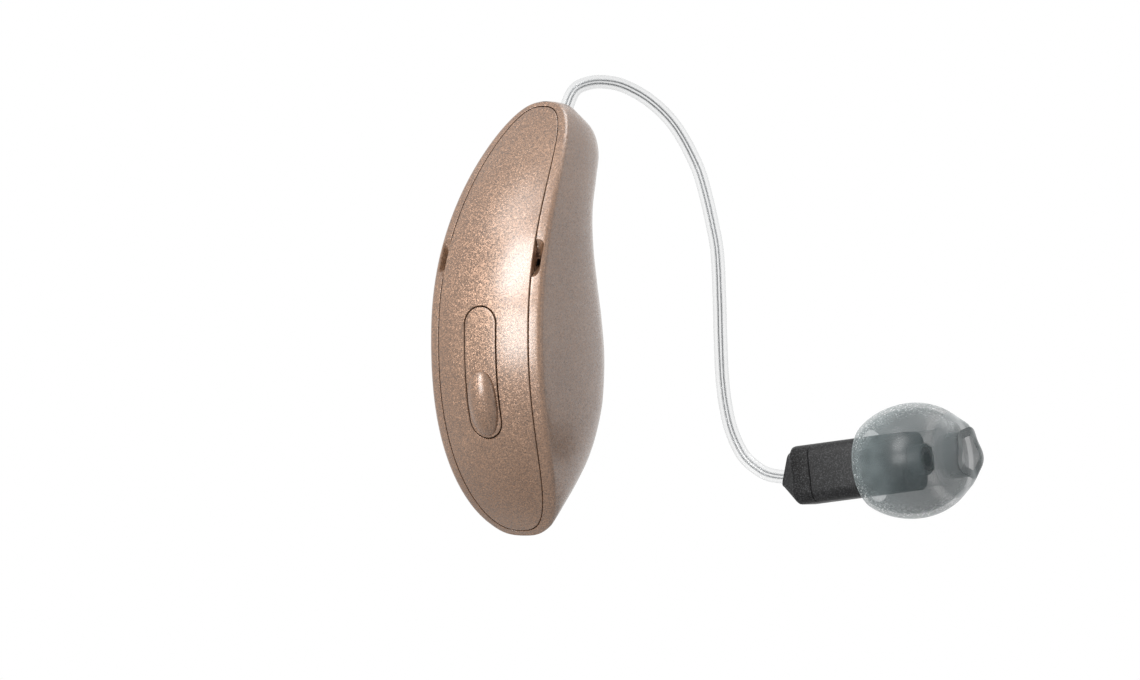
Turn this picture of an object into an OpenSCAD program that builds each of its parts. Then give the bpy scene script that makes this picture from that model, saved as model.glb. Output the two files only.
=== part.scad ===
// Hearing aid worn behind the ear, with its receiver in the ear canal.
// +Z up, -Y the spine that faces away from the ear, +Y the side that lies on the ear,
// +X towards the head. The origin is the seat on the ear side, in the waist of the body.

/* [Body] */
// Height of the body from heel to crown
body_h = 30.05; // [27:0.05:33]
// Width of the body across its two ridges
body_w = 8.9; // [8.3:0.1:9.8]
// Depth of the body at the belly, from the spine to the ear side
body_d = 12.8; // [12.2:0.1:14]
// Height of the crown above the ear seat
crown_z = 7.85; // [7.4:0.05:8.4]
// How far the spine bows out between the ridges
spine_bow = 0.8; // [0.5:0.05:1]
// Radius that softens each ridge
ridge_r = 0.3; // [0.15:0.05:0.4]
// Width of the housing's band between ridge and cover, at the sides
band_w = 0.85; // [0.7:0.05:1]
// Width of that band at the crown and the heel
band_end = 0.33; // [0.25:0.01:0.45]

/* [Walls] */
// Wall of the housing
wall = 0.7; // [0.55:0.05:0.8]
// Thickness of the spine cover
cover_t = 0.45; // [0.35:0.05:0.55]
// Thickness of the flange that the cover rests on
flange_t = 0.5; // [0.4:0.05:0.6]
// Width of that flange
flange_w = 0.6; // [0.4:0.05:0.7]
// Wall left over the cavity at the crown
crown_wall = 1.1; // [0.9:0.1:1.4]
// Solid heel below the cavity
heel_wall = 2.4; // [2.2:0.1:3]
// Gap of the seam between cover and housing
seam_gap = 0.06; // [0.03:0.01:0.1]

/* [Push button] */
// Width of the button
button_w = 2.4; // [2.1:0.1:2.6]
// Length of the button
button_l = 9; // [8.6:0.1:9.4]
// Depth of the button's upper end below the ear seat
button_top = 6.4; // [6:0.1:6.8]
// Gap round the button
button_gap = 0.08; // [0.06:0.01:0.12]
// Length of the raised thumb rest
bump_l = 4.5; // [4:0.1:5]
// Width of the raised thumb rest
bump_w = 2.2; // [1.9:0.05:2.3]
// Height of the raised thumb rest
bump_h = 0.75; // [0.5:0.05:0.9]
// Diameter of the button's pivot pin
pivot_d = 0.5; // [0.4:0.05:0.6]

/* [Sound slots] */
// Length of each sound slot
slot_l = 2.55; // [2.2:0.05:2.8]
// Width of each sound slot in the band
slot_w = 0.55; // [0.45:0.05:0.7]
// Depth of the slots' middle below the ear seat
slot_drop = 3.05; // [2.75:0.05:3.35]

/* [Battery] */
// Room between the chassis and each side of the body
side_room = 2; // [1.9:0.05:2.3]
// Wall of the chassis behind the rechargeable cell
cell_wall = 0.42; // [0.3:0.01:0.6]
// Room between the charging coil and each side of the chassis
coil_margin = 0.35; // [0.3:0.05:0.6]

/* [Lead] */
// Outside diameter of the clear tube
tube_d = 0.95; // [0.85:0.05:1.05]
// Bore of the clear tube
tube_bore = 0.45; // [0.4:0.01:0.5]
// Diameter of the pair of wires in the tube
wire_d = 0.38; // [0.3:0.01:0.39]
// Diameter of the plug in the crown
plug_d = 2; // [1.9:0.05:2.1]
// Length of the plug
plug_l = 4.2; // [3.8:0.1:4.4]
// Elevation of the lead where it leaves the crown, in degrees
exit_rise = 55; // [50:1:60]

/* [Receiver] */
// Distance of the receiver's rear towards the head from the middle of the body
receiver_x = 11.9; // [11.4:0.1:12.4]
// Distance of the receiver's rear in front of the ear seat
receiver_y = 11.05; // [10.6:0.05:11.5]
// Depth of the receiver's rear below the ear seat
receiver_drop = 18.25; // [17.75:0.05:18.75]
// Upward tilt of the receiver, in degrees
receiver_tilt = 7; // [5.5:0.5:8.5]
// Length of the receiver's case with its cap
case_l = 9.9; // [9.5:0.1:10.4]
// Height of the case
case_h = 4.1; // [3.9:0.1:4.3]
// Width of the case
case_w = 3.6; // [3.4:0.1:3.8]
// Wall of the case
case_wall = 0.35; // [0.3:0.05:0.4]
// Length of the cap at the rear of the case
cap_l = 2.5; // [2.3:0.1:2.7]
// Outside diameter of the sound spout
spout_d = 2.2; // [2:0.05:2.3]
// Bore of the sound spout
spout_bore = 1.7; // [1.6:0.05:1.75]
// Length of the sound spout
spout_l = 1; // [0.9:0.1:1.2]

/* [Ear dome] */
// Largest diameter of the dome
dome_d = 8.05; // [7.5:0.05:9]
// Diameter of the dome's rear rim
dome_rim_d = 6.1; // [5.8:0.1:6.6]
// Length of the dome from its rear rim to its widest place
dome_back = 3.25; // [3:0.05:3.5]
// Length of the dome from its widest place to the tip
dome_nose = 4.4; // [4.2:0.1:4.6]
// Wall of the dome
dome_t = 0.35; // [0.25:0.05:0.4]
// Diameter of the hub that grips the spout
hub_d = 3.9; // [3.5:0.1:4.1]

/* [Hidden] */
$fn = 48;

// Colours
paint = "#a98f7f";
black = "#2b2b2d";
smoke = "#7d8c8c";
clear = "#d8dcdc";
board_green = "#2f5d46";
gold = "#c8a24a";
steel = "#b9bcc0";
copper = "#b87333";
graphite = "#4a4c50";

// Clearances and overruns
seat_gap = 0.03;
overrun = 0.3;

// Steps round the outline and across it
levels = 30;
flank_steps = 14;
panel_steps = 8;

// Heights along the body
heel_z = crown_z - body_h;
mid_z = (crown_z + heel_z) / 2;
widest_share = 0.423;
rearmost_share = 0.456;
shoulder_share = 0.67;
lower_share = 0.306;
widest_z = heel_z + widest_share * body_h;
rearmost_z = heel_z + rearmost_share * body_h;
shoulder_z = heel_z + shoulder_share * body_h;
lower_z = heel_z + lower_share * body_h;

// Side profile, as shares of the depth: how far the crown and the heel lie in front of the
// rearmost line, and the ear side between them at equal angles round the outline
crown_sweep_share = 0.7;
heel_sweep_share = 0.484;
ear_side_shares = [
    0.866, 0.947, 1.068, 1.082, 0.998, 0.909, 0.88, 0.918, 0.971,
    1.005, 0.99, 0.944, 0.859, 0.73, 0.599, 0.507, 0.467
];

// Powers of the rounded arches that draw the outline, the spine and the flanks
crown_arch = [2.42, 2.67];
heel_arch = [3.6, 2.55];
crown_sweep_arch = [2.16, 0.91];
heel_sweep_arch = [2.2, 1.15];
cavity_arch = [4, 2];
belly_flank_power = 3.5;
end_flank_power = 2.1;

function mix(a, b, t) = a + (b - a) * t;
function clamp(t) = min(1, max(0, t));
function unit(v) = v / norm(v);

// Falls from 1 to 0 as r grows from 0 to 1, flat at first and steep at the end
function arch(r, powers) = pow(1 - pow(clamp(r), powers[0]), 1 / powers[1]);

// Height of step i of n from top to bottom, closer together towards the ends
function level(i, n, top, bottom) = (top + bottom) / 2 + (top - bottom) / 2 * cos(180 * i / n);

// Half the width of the outline at height z
function half_w(z, half, top, bottom) = half * (z > widest_z
    ? arch((z - widest_z) / (top - widest_z), crown_arch)
    : arch((widest_z - z) / (widest_z - bottom), heel_arch));

// Spine and ear side, measured forward from the rearmost line
function spine_sweep(z) = body_d * (z > rearmost_z
    ? crown_sweep_share * (1 - arch((z - rearmost_z) / (crown_z - rearmost_z), crown_sweep_arch))
    : heel_sweep_share * (1 - arch((rearmost_z - z) / (rearmost_z - heel_z), heel_sweep_arch)));
side_rows = concat([crown_sweep_share], ear_side_shares, [heel_sweep_share]);
side_steps = len(side_rows) - 1;
function side_row(k) = k < 0 ? 2 * side_rows[0] - side_rows[1]
    : k > side_steps ? 2 * side_rows[side_steps] - side_rows[side_steps - 1] : side_rows[k];
// Smooth curve through four values, from the second to the third
function smooth(a, b, c, d, t) = (2 * b + (c - a) * t + (2 * a - 5 * b + 4 * c - d) * t * t
    + (3 * b - a - 3 * c + d) * t * t * t) / 2;
function side_at(k) = let (i = min(side_steps - 1, floor(k)))
    smooth(side_row(i - 1), side_row(i), side_row(i + 1), side_row(i + 2), k - i);
function ear_sweep(z) = body_d
    * side_at(side_steps * acos(max(-1, min(1, (z - mid_z) / (body_h / 2)))) / 180);

// The same in the frame of the part, with the ear seat at zero
seat_sweep = ear_sweep(0);
function spine_y(z) = spine_sweep(z) - seat_sweep;
function ear_y(z) = ear_sweep(z) - seat_sweep;
function back_y(x, z) = spine_y(z) + spine_bow * pow(2 * x / body_w, 2);
function ridge_y(z) = back_y(half_w(z, body_w / 2, crown_z, heel_z), z);
function flank_power(z) = mix(belly_flank_power, end_flank_power,
    max(clamp((z - shoulder_z) / (crown_z - shoulder_z)), clamp((lower_z - z) / (lower_z - heel_z))));

// Point on a flank: from one ridge (angle 0) over the ear side (90) to the other ridge (180)
function flank_point(z, angle, half, back, front) = let (p = 2 / flank_power(z))
    [sign(cos(angle)) * half * pow(abs(cos(angle)), p), mix(back, front, pow(sin(angle), p)), z];

// A ring runs down the +X side from the top and up the other side, 2n points in all.
// place(side, z) gives the point at one height.
function ring(n, top, bottom, place) = [for (k = [0 : 2 * n - 1])
    place(k <= n ? 1 : -1, level(k <= n ? k : 2 * n - k, n, top, bottom))];
// The points inside a ring: m steps across at each height. place(z, angle) gives the point.
function inside(n, m, top, bottom, place) = [for (i = [1 : n - 1]) for (j = [1 : m - 1])
    place(level(i, n, top, bottom), 180 * j / m)];

function flip(faces, turn) = turn ? [for (f = faces) [f[0], f[2], f[1]]] : faces;
// Faces between two rings of n points that start at a and b
function strip(a, b, n, turn = false) = flip([for (k = [0 : n - 1]) let (l = (k + 1) % n)
    each [[a + k, b + k, b + l], [a + k, b + l, a + l]]], turn);
// Index of point (i, j) of a skin whose edge is the ring at r and whose inside starts at s
function skin_index(i, j, n, m, r, s) = i == 0 ? r : i == n ? r + n : j == 0 ? r + i
    : j == m ? r + 2 * n - i : s + (i - 1) * (m - 1) + j - 1;
// Faces of that skin, a single triangle at each pole
function skin(n, m, r, s, turn = false) = flip([for (i = [0 : n - 1]) for (j = [0 : m - 1])
    let (a = skin_index(i, j, n, m, r, s), b = skin_index(i + 1, j, n, m, r, s),
        c = skin_index(i + 1, j + 1, n, m, r, s), d = skin_index(i, j + 1, n, m, r, s))
    each concat(i < n - 1 ? [[a, b, c]] : [], i > 0 ? [[a, c, d]] : [])], turn);

// Housing: depth of the cover's seat, thinner where the body thins out at its ends
function seat_depth(z) = min(cover_t + seat_gap, (ear_y(z) - spine_y(z)) / 2);
function cover_depth(z) = seat_depth(z) - seat_gap * (cover_t + seat_gap) / seat_depth(z);
function ridge_drop(z) = min(ridge_r, (ear_y(z) - ridge_y(z)) / 3);
panel_half = body_w / 2 - band_w;
panel_top = crown_z - band_end;
panel_bottom = heel_z + band_end;
flange_top = panel_top - flange_w - wall / 2;
flange_bottom = panel_bottom + flange_w + wall / 2;
cavity_half = body_w / 2 - wall;
cavity_top = crown_z - crown_wall;
cavity_bottom = heel_z + heel_wall;
cavity_mid = (cavity_top + cavity_bottom) / 2;
undercut = flange_t / 2;
function under_flange_y(x, z) = back_y(x, z) + seat_depth(z) + flange_t + undercut;
function cavity_y(z, half) = let (back = under_flange_y(half, z))
    mix(back, ear_y(z) - wall, arch(abs(z - cavity_mid) / (cavity_top - cavity_mid), cavity_arch));
// Wall of the cavity on the ear side, at a distance x from the middle
function cavity_front(x, z) = let (half = half_w(z, cavity_half, cavity_top, cavity_bottom),
        back = under_flange_y(half, z), p = flank_power(z))
    mix(back, cavity_y(z, half), pow(1 - pow(clamp(x / half), p), 1 / p));

module housing_shell() {
    n = levels;
    m = flank_steps;
    soft_end = ridge_r / 3;
    flank_ring = ring(n, crown_z, heel_z, function(side, z)
        [side * half_w(z, body_w / 2, crown_z, heel_z), ridge_y(z) + ridge_drop(z), z]);
    band_ring = ring(n, crown_z - soft_end, heel_z + soft_end, function(side, z)
        let (x = half_w(z, body_w / 2 - ridge_r, crown_z - soft_end, heel_z + soft_end))
        [side * x, back_y(x, z), z]);
    seam_ring = ring(n, panel_top, panel_bottom, function(side, z)
        let (x = half_w(z, panel_half, panel_top, panel_bottom)) [side * x, back_y(x, z), z]);
    seat_ring = ring(n, panel_top, panel_bottom, function(side, z)
        let (x = half_w(z, panel_half, panel_top, panel_bottom))
        [side * x, back_y(x, z) + seat_depth(z), z]);
    rest_ring = ring(n, (panel_top + flange_top) / 2, (panel_bottom + flange_bottom) / 2,
        function(side, z) let (x = half_w(z, panel_half - flange_w / 2,
            (panel_top + flange_top) / 2, (panel_bottom + flange_bottom) / 2))
        [side * x, back_y(x, z) + seat_depth(z), z]);
    flange_ring = ring(n, flange_top, flange_bottom, function(side, z)
        let (x = half_w(z, panel_half - flange_w, flange_top, flange_bottom))
        [side * x, back_y(x, z) + seat_depth(z), z]);
    under_ring = ring(n, flange_top, flange_bottom, function(side, z)
        let (x = half_w(z, panel_half - flange_w, flange_top, flange_bottom))
        [side * x, back_y(x, z) + seat_depth(z) + flange_t, z]);
    cavity_ring = ring(n, cavity_top, cavity_bottom, function(side, z)
        let (x = half_w(z, cavity_half, cavity_top, cavity_bottom))
        [side * x, under_flange_y(x, z), z]);
    outside = inside(n, m, crown_z, heel_z, function(z, angle)
        flank_point(z, angle, half_w(z, body_w / 2, crown_z, heel_z),
            ridge_y(z) + ridge_drop(z), ear_y(z)));
    cavity = inside(n, m, cavity_top, cavity_bottom, function(z, angle)
        let (x = half_w(z, cavity_half, cavity_top, cavity_bottom))
        flank_point(z, angle, x, under_flange_y(x, z), cavity_y(z, x)));
    rings = [flank_ring, band_ring, seam_ring, seat_ring, rest_ring, flange_ring, under_ring,
        cavity_ring];
    count = 2 * n;
    first_inside = len(rings) * count;
    polyhedron(
        points = concat([for (r = rings) each r], outside, cavity),
        faces = concat(
            [for (k = [0 : len(rings) - 2]) each strip(k * count, (k + 1) * count, count)],
            skin(n, m, 0, first_inside, true),
            skin(n, m, first_inside - count, first_inside + len(outside))),
        convexity = 6);
}

// Plate that follows the spine: half(z) is its half width, outer(x, z) and inner(x, z) its faces
module spine_plate(n, m, top, bottom, half, outer, inner) {
    function edge(face) = ring(n, top, bottom, function(side, z) let (x = half(z))
        [side * x, face(x, z), z]);
    function face_points(face) = inside(n, m, top, bottom, function(z, angle)
        let (x = half(z) * cos(angle)) [x, face(x, z), z]);
    count = 2 * n;
    face_count = (n - 1) * (m - 1);
    polyhedron(
        points = concat(edge(outer), edge(inner), face_points(outer), face_points(inner)),
        faces = concat(strip(0, count, count), skin(n, m, 0, 2 * count),
            skin(n, m, count, 2 * count + face_count, true)),
        convexity = 4);
}

// Lead: where it leaves the crown, and the axis of its plug
exit_angle = 17;
exit_z = mid_z + body_h / 2 * cos(exit_angle);
exit_point = [0, ear_y(exit_z), exit_z];
exit_axis = [0, cos(exit_rise), sin(exit_rise)];
module at_exit() {
    translate(exit_point)
        rotate([exit_rise - 90, 0, 0])
            children();
}
receiver_point = [receiver_x, receiver_y, -receiver_drop];
receiver_axis = [cos(receiver_tilt), 0, sin(receiver_tilt)];
module at_receiver() {
    translate(receiver_point)
        rotate([0, -receiver_tilt, 0])
            children();
}
// Round solid along the receiver's axis, from start to end
module along(start, end, d) {
    translate([start, 0, 0])
        rotate([0, 90, 0])
            cylinder(d = d, h = end - start);
}

module main_housing() {
    slot_half = half_w(-slot_drop, body_w / 2, crown_z, heel_z);
    slot_depth = 1.7 * flange_t + cover_t + undercut;
    color(paint)
    difference() {
        housing_shell();
        for (side = [-1, 1])
            translate([side * (slot_half - band_w), back_y(slot_half, -slot_drop), -slot_drop])
                rotate([-90, 0, 0])
                    translate([0, 0, -overrun])
                        linear_extrude(slot_depth + overrun)
                            slot_outline(side);
        at_exit() {
            translate([0, 0, -socket_depth - overrun])
                cylinder(d = socket_d + 2 * seat_gap, h = socket_depth + overrun - socket_front);
            translate([0, 0, -socket_front - overrun])
                cylinder(d = plug_hole_d, h = socket_front + overrun + plug_d / 2);
        }
    }
}

// Outline of a sound slot, seen from behind: its outer corners are round, and its inner part
// runs on under the edge of the cover
module slot_outline(side) {
    corner = slot_w * 0.9;
    inner = flange_w;
    scale([side, 1]) {
        translate([-inner, -slot_l / 2])
            square([inner + slot_w - corner, slot_l]);
        translate([0, corner - slot_l / 2])
            square([slot_w, slot_l - 2 * corner]);
        for (end = [-1, 1])
            translate([slot_w - corner, end * (slot_l / 2 - corner)])
                circle(corner);
    }
}

// Cover of the spine, with the opening of the button and the two ears of its pivot
button_bottom = -button_top - button_l;
pivot_inset = button_w / 2;
pivot_run = 0.04;
pivot_z = -button_top - pivot_inset;
pivot_depth = 1;
pivot_y = spine_y(pivot_z) + pivot_depth;
ear_t = 0.5;
ear_w = 1;
lug_w = 0.9;
pivot_ear_x = button_w / 2 + button_gap;
module button_outline(grow) {
    r = button_w / 2 + grow;
    square([2 * r, button_l - button_w], center = true);
    for (end = [-1, 1])
        translate([0, end * (button_l - button_w) / 2])
            circle(r);
}
module across(half_length, d) {
    rotate([0, 90, 0])
        cylinder(d = d, h = 2 * half_length, center = true);
}
module spine_cover() {
    top = panel_top - seam_gap;
    bottom = panel_bottom + seam_gap;
    color(paint)
    difference() {
        union() {
            spine_plate(levels, panel_steps, top, bottom,
                function(z) half_w(z, panel_half - seam_gap, top, bottom),
                function(x, z) back_y(x, z),
                function(x, z) back_y(x, z) + cover_depth(z));
            for (side = [-1, 1])
                translate([side * (pivot_ear_x + ear_t / 2), pivot_y, pivot_z])
                    cube([ear_t, 2 * (pivot_depth - cover_t + overrun / 2), ear_w],
                        center = true);
        }
        translate([0, back_y(0, pivot_z), -button_top - button_l / 2])
            rotate([-90, 0, 0])
                linear_extrude(2 * body_d, center = true)
                    button_outline(button_gap);
        translate([0, pivot_y, pivot_z])
            across(body_w, pivot_d);
    }
}

// Button: a plate flush with the cover, its thumb rest, a lug on the pivot and a plunger
button_levels = 26;
button_steps = 10;
plunger_d = 1;
plunger_l = 1.5;
plunger_share = 0.27;
plunger_z = button_bottom + plunger_share * button_l;
bump_z = button_bottom + button_gap + bump_l / 2 + (button_w - bump_w) / 4;
bump_power = 0.55;
bump_outline_power = 2.3;
function bump(x, z) = let (r = pow(abs(2 * x / bump_w), bump_outline_power)
        + pow(abs(2 * (z - bump_z) / bump_l), bump_outline_power))
    bump_h * pow(1 - clamp(r), bump_power);
function button_half(z) = let (r = button_w / 2, c = button_l / 2 - r,
        d = max(0, abs(z + button_top + button_l / 2) - c))
    sqrt(max(0, r * r - d * d));
module push_button() {
    lug_bore = pivot_d + 2 * pivot_run;
    color(paint)
    difference() {
        union() {
            spine_plate(button_levels, button_steps, -button_top, button_bottom,
                function(z) button_half(z),
                function(x, z) back_y(x, z) - bump(x, z),
                function(x, z) back_y(x, z) + cover_t);
            translate([0, pivot_y, pivot_z])
                cube([button_w - button_gap, 2 * (pivot_depth - cover_t + overrun / 2),
                    lug_w], center = true);
            translate([0, spine_y(plunger_z) + cover_t / 2, plunger_z])
                rotate([-90, 0, 0])
                    cylinder(d = plunger_d, h = plunger_l - cover_t / 2);
        }
        translate([0, pivot_y, pivot_z])
            across(button_w, lug_bore);
    }
}
module button_pin() {
    color(steel)
    translate([0, pivot_y, pivot_z])
        across(pivot_ear_x + ear_t, pivot_d - 2 * seat_gap / 3);
}

// Inside: a chassis between spine and ear side carries the cell, the board and the switch
chassis_w = body_w - 2 * side_room;
chassis_rib = 0.5;
chassis_high = 1.7;
spine_room = 2.3;
ear_room = 0.15;
coil_d = chassis_w - 2 * coil_margin;
coil_t = 0.5;
ferrite_t = 0.15;
cell_share = 0.346;
cell_z = heel_z + cell_share * body_h;
coil_y = min(cavity_front(0, cell_z - coil_d / 2), cavity_front(coil_d / 2, cell_z)) - ear_room - coil_t;
ferrite_y = coil_y - seat_gap - ferrite_t;
cell_back = spine_y(cell_z) + spine_room + cell_wall;
cell_front = ferrite_y - 2 * seat_gap;
cell_d = cell_front - cell_back;
cell_y = (cell_front + cell_back) / 2;
chassis_low = cell_z - cell_d / 2 - chassis_rib;
board_t = 0.4;
board_low = cell_z + cell_d / 2 + 2 * chassis_rib;
board_high = chassis_high - chassis_rib;
board_share = 0.42;
board_y = mix(spine_y(0) + spine_room, cavity_front(chassis_w / 2, 0), board_share);

// Side outline of the space between spine and ear side, as (y, z)
function side_outline(low, high, back, front, n = 16) = concat(
    [for (i = [0 : n]) let (z = mix(low, high, i / n)) [spine_y(z) + back, z]],
    [for (i = [n : -1 : 0]) let (z = mix(low, high, i / n)) [cavity_front(chassis_w / 2, z) - front, z]]);
// Turns an outline of (y, z) into a solid of width w about the middle
module side_plate(w) {
    rotate([90, 0, 90])
        translate([0, 0, -w / 2])
            linear_extrude(w)
                children();
}
module chassis() {
    color(graphite)
    difference() {
        side_plate(chassis_w)
            polygon(side_outline(chassis_low, chassis_high, spine_room, ear_room));
        translate([0, cell_y, cell_z])
            across(chassis_w, cell_d + 2 * seat_gap);
        side_plate(2 * chassis_w)
            polygon(side_outline(board_low, board_high, spine_room + chassis_rib,
                ear_room + chassis_rib));
        translate([0, cell_y, cell_z])
            rotate([-90, 0, 0])
                cylinder(d = coil_d + 2 * seat_gap, h = body_d);
        translate([0, switch_y - body_d / 2 + seat_gap, plunger_z])
            cube([switch_w + 2 * seat_gap, body_d, switch_w + 2 * seat_gap], center = true);
    }
}
module battery_cell() {
    color(steel)
    translate([0, cell_y, cell_z])
        across(chassis_w / 2, cell_d);
}
tab_w = 2;
tab_t = 0.1;
tab_reach = 0.5;
module battery_tabs() {
    color(gold)
    for (side = [-1, 1])
        translate([side * (chassis_w / 2 + seat_gap + tab_t / 2), cell_y, mix(cell_z, board_low, 0.5)])
            cube([tab_t, tab_w, board_low - cell_z + 2 * tab_reach], center = true);
}
module circuit_board() {
    color(board_green)
    translate([-chassis_w / 2 + seat_gap, board_y, board_low + seat_gap])
        cube([chassis_w - 2 * seat_gap, board_t, board_high - board_low - 2 * seat_gap]);
}
chip_l = 3.6;
chip_margin = 0.75;
chip_w = chassis_w - 2 * chip_margin;
chip_t = 0.8;
module signal_processor() {
    color(black)
    translate([-chip_w / 2, board_y - chip_t - seat_gap, mix(board_low, board_high, 0.5) - chip_l / 2])
        cube([chip_w, chip_t, chip_l]);
}
radio_l = 2.4;
module radio_chip() {
    color(black)
    translate([-radio_l / 2, board_y + board_t + seat_gap, board_low + overrun])
        cube([radio_l, chip_t, radio_l]);
}
part_l = 0.6;
part_w = 0.4;
part_pitch = 1;
module board_components() {
    color(gold)
    for (i = [0 : 2]) for (side = [-1, 1])
        translate([side * part_pitch - part_l / 2, board_y + board_t + seat_gap,
                board_high - (i + 1) * part_pitch])
            cube([part_l, part_w, part_w]);
}

// Microphones lie on the slope of the chassis, behind the slots, each with a gasket and a screen
mic_w = 1.5;
mic_t = 0.95;
mic_l = 2.8;
mic_x = (chassis_w - mic_w) / 2 + ear_room;
mic_slope = atan((spine_y(mic_l - slot_drop) - spine_y(-mic_l - slot_drop)) / (2 * mic_l));
module at_mic(side) {
    translate([side * mic_x, spine_y(-slot_drop) + spine_room - seat_gap, -slot_drop])
        rotate([-mic_slope, 0, 0])
            children();
}
module microphone(side) {
    color(steel)
    at_mic(side)
        translate([0, -mic_t / 2, 0])
            cube([mic_w, mic_t, mic_l], center = true);
}
gasket_l = 0.5;
gasket_h = 1.4;
mic_port_d = 0.25;
module mic_gasket(side) {
    color(black)
    at_mic(side)
        translate([side * ((mic_w + gasket_l) / 2 + seat_gap), -mic_t / 3, 0])
            difference() {
                cube([gasket_l, mic_t / 2, gasket_h], center = true);
                across(gasket_l, mic_port_d);
            }
}
screen_t = 0.1;
module mic_screen(side) {
    half = half_w(-slot_drop, body_w / 2, crown_z, heel_z);
    color(black)
    translate([side * (half - band_w + slot_w / 2),
            back_y(half, -slot_drop) + cover_t + flange_t - screen_t, -slot_drop])
        cube([slot_w - 2 * seat_gap, screen_t, slot_l - slot_w * 1.2], center = true);
}

// Charging coil with its ferrite, between the cell and the ear side
module ferrite_sheet() {
    color(graphite)
    translate([0, ferrite_y, cell_z])
        rotate([-90, 0, 0])
            cylinder(d = coil_d, h = ferrite_t);
}
module charge_coil() {
    color(copper)
    translate([0, coil_y, cell_z])
        rotate([-90, 0, 0])
            difference() {
                cylinder(d = coil_d, h = coil_t);
                translate([0, 0, -overrun])
                    cylinder(d = coil_d / 2, h = coil_t + 2 * overrun);
            }
}
antenna_t = 0.15;
antenna_w = 0.7;
antenna_low = board_low + 2 * tab_reach;
antenna_back = spine_room + chassis_rib;
antenna_front = ear_room + chassis_rib;
module antenna() {
    color(copper)
    translate([-chassis_w / 2 - seat_gap - antenna_t / 2, 0, 0])
        side_plate(antenna_t)
            difference() {
                polygon(side_outline(antenna_low, board_high, antenna_back, antenna_front));
                polygon(side_outline(antenna_low + antenna_w, board_high - antenna_w,
                    antenna_back + antenna_w, antenna_front + antenna_w));
            }
}

// Socket in the crown, with the seal in front of it
socket_d = 3;
socket_front = 2;
seal_t = 0.4;
socket_floor = 0.3;
socket_depth = plug_l + 2 * socket_floor;
plug_run = 0.1;
plug_hole_d = plug_d + 2 * plug_run;
module plug_socket() {
    color(black)
    at_exit()
        difference() {
            translate([0, 0, -socket_depth])
                cylinder(d = socket_d, h = socket_depth - socket_front - seal_t - seat_gap);
            translate([0, 0, socket_floor - socket_depth])
                cylinder(d = plug_hole_d, h = socket_depth);
        }
}
module socket_seal() {
    color(black)
    at_exit()
        translate([0, 0, -socket_front - seal_t])
            difference() {
                cylinder(d = socket_d, h = seal_t - seat_gap);
                translate([0, 0, -overrun])
                    cylinder(d = plug_hole_d, h = seal_t + 2 * overrun);
            }
}
contact_t = 0.12;
module socket_contacts() {
    color(gold)
    at_exit()
        for (i = [-1 : 1])
            translate([i * plug_d / 3, 0, socket_floor - socket_depth + seat_gap + contact_t / 2])
                cube([plug_d / 6, plug_d / 2, contact_t], center = true);
}
flex_t = 0.12;
flex_w = 1.6;
module link_flex() {
    start = [board_y + board_t / 2, chassis_high + seat_gap];
    end = [exit_point[1] - (socket_depth + seat_gap + flex_t / 2) * exit_axis[1],
        exit_point[2] - (socket_depth + seat_gap + flex_t / 2) * exit_axis[2]];
    bend = [end[0], start[1] + flex_t / 2];
    color(copper)
    side_plate(flex_w) {
        translate(start)
            square([bend[0] - start[0], flex_t]);
        translate(bend - [flex_t / 2, flex_t / 2])
            square([flex_t, end[1] - bend[1]]);
        translate(end)
            rotate(exit_rise - 90)
                square([plug_d, flex_t], center = true);
    }
}

// Switch under the button, on the chassis
switch_w = 2.2;
switch_h = 0.3;
switch_dome_d = 1.8;
switch_dome_h = 0.2;
switch_travel = 0.22;
switch_y = spine_y(plunger_z) + plunger_l + switch_travel + switch_dome_h + seat_gap + switch_h;
module switch_base() {
    color(black)
    translate([-switch_w / 2, switch_y - switch_h, plunger_z - switch_w / 2])
        cube([switch_w, switch_h, switch_w]);
}
module switch_dome() {
    sphere_r = (pow(switch_dome_d / 2, 2) + pow(switch_dome_h, 2)) / (2 * switch_dome_h);
    color(steel)
    translate([0, switch_y - switch_h - seat_gap, plunger_z])
        rotate([90, 0, 0])
            intersection() {
                translate([0, 0, switch_dome_h - sphere_r])
                    sphere(sphere_r);
                cylinder(d = switch_dome_d, h = 2 * switch_dome_h);
            }
}

// Plug on the lead: three contact rings on a black core, and a bore for the tube
tube_grip = 0.6;
plug_front = -0.15;
ring_l = 0.5;
module receiver_plug() {
    color(black)
    at_exit()
        difference() {
            translate([0, 0, plug_front - plug_l])
                cylinder(d = plug_d, h = plug_l);
            for (i = [0 : 2])
                translate([0, 0, plug_front - plug_l + (2 * i + 1) * ring_l])
                    ring_cut(plug_d + overrun, plug_d - 2 * contact_t, ring_l);
            translate([0, 0, plug_front - tube_grip - seat_gap])
                cylinder(d = tube_d + 2 * seat_gap, h = tube_grip + overrun);
        }
}
module ring_cut(outer, inner, h) {
    difference() {
        cylinder(d = outer, h = h);
        translate([0, 0, -overrun])
            cylinder(d = inner, h = h + 2 * overrun);
    }
}
module plug_contacts() {
    color(gold)
    at_exit()
        for (i = [0 : 2])
            translate([0, 0, plug_front - plug_l + (2 * i + 1) * ring_l + seat_gap])
                ring_cut(plug_d, plug_d - 2 * contact_t + 2 * seat_gap, ring_l - 2 * seat_gap);
}

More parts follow.
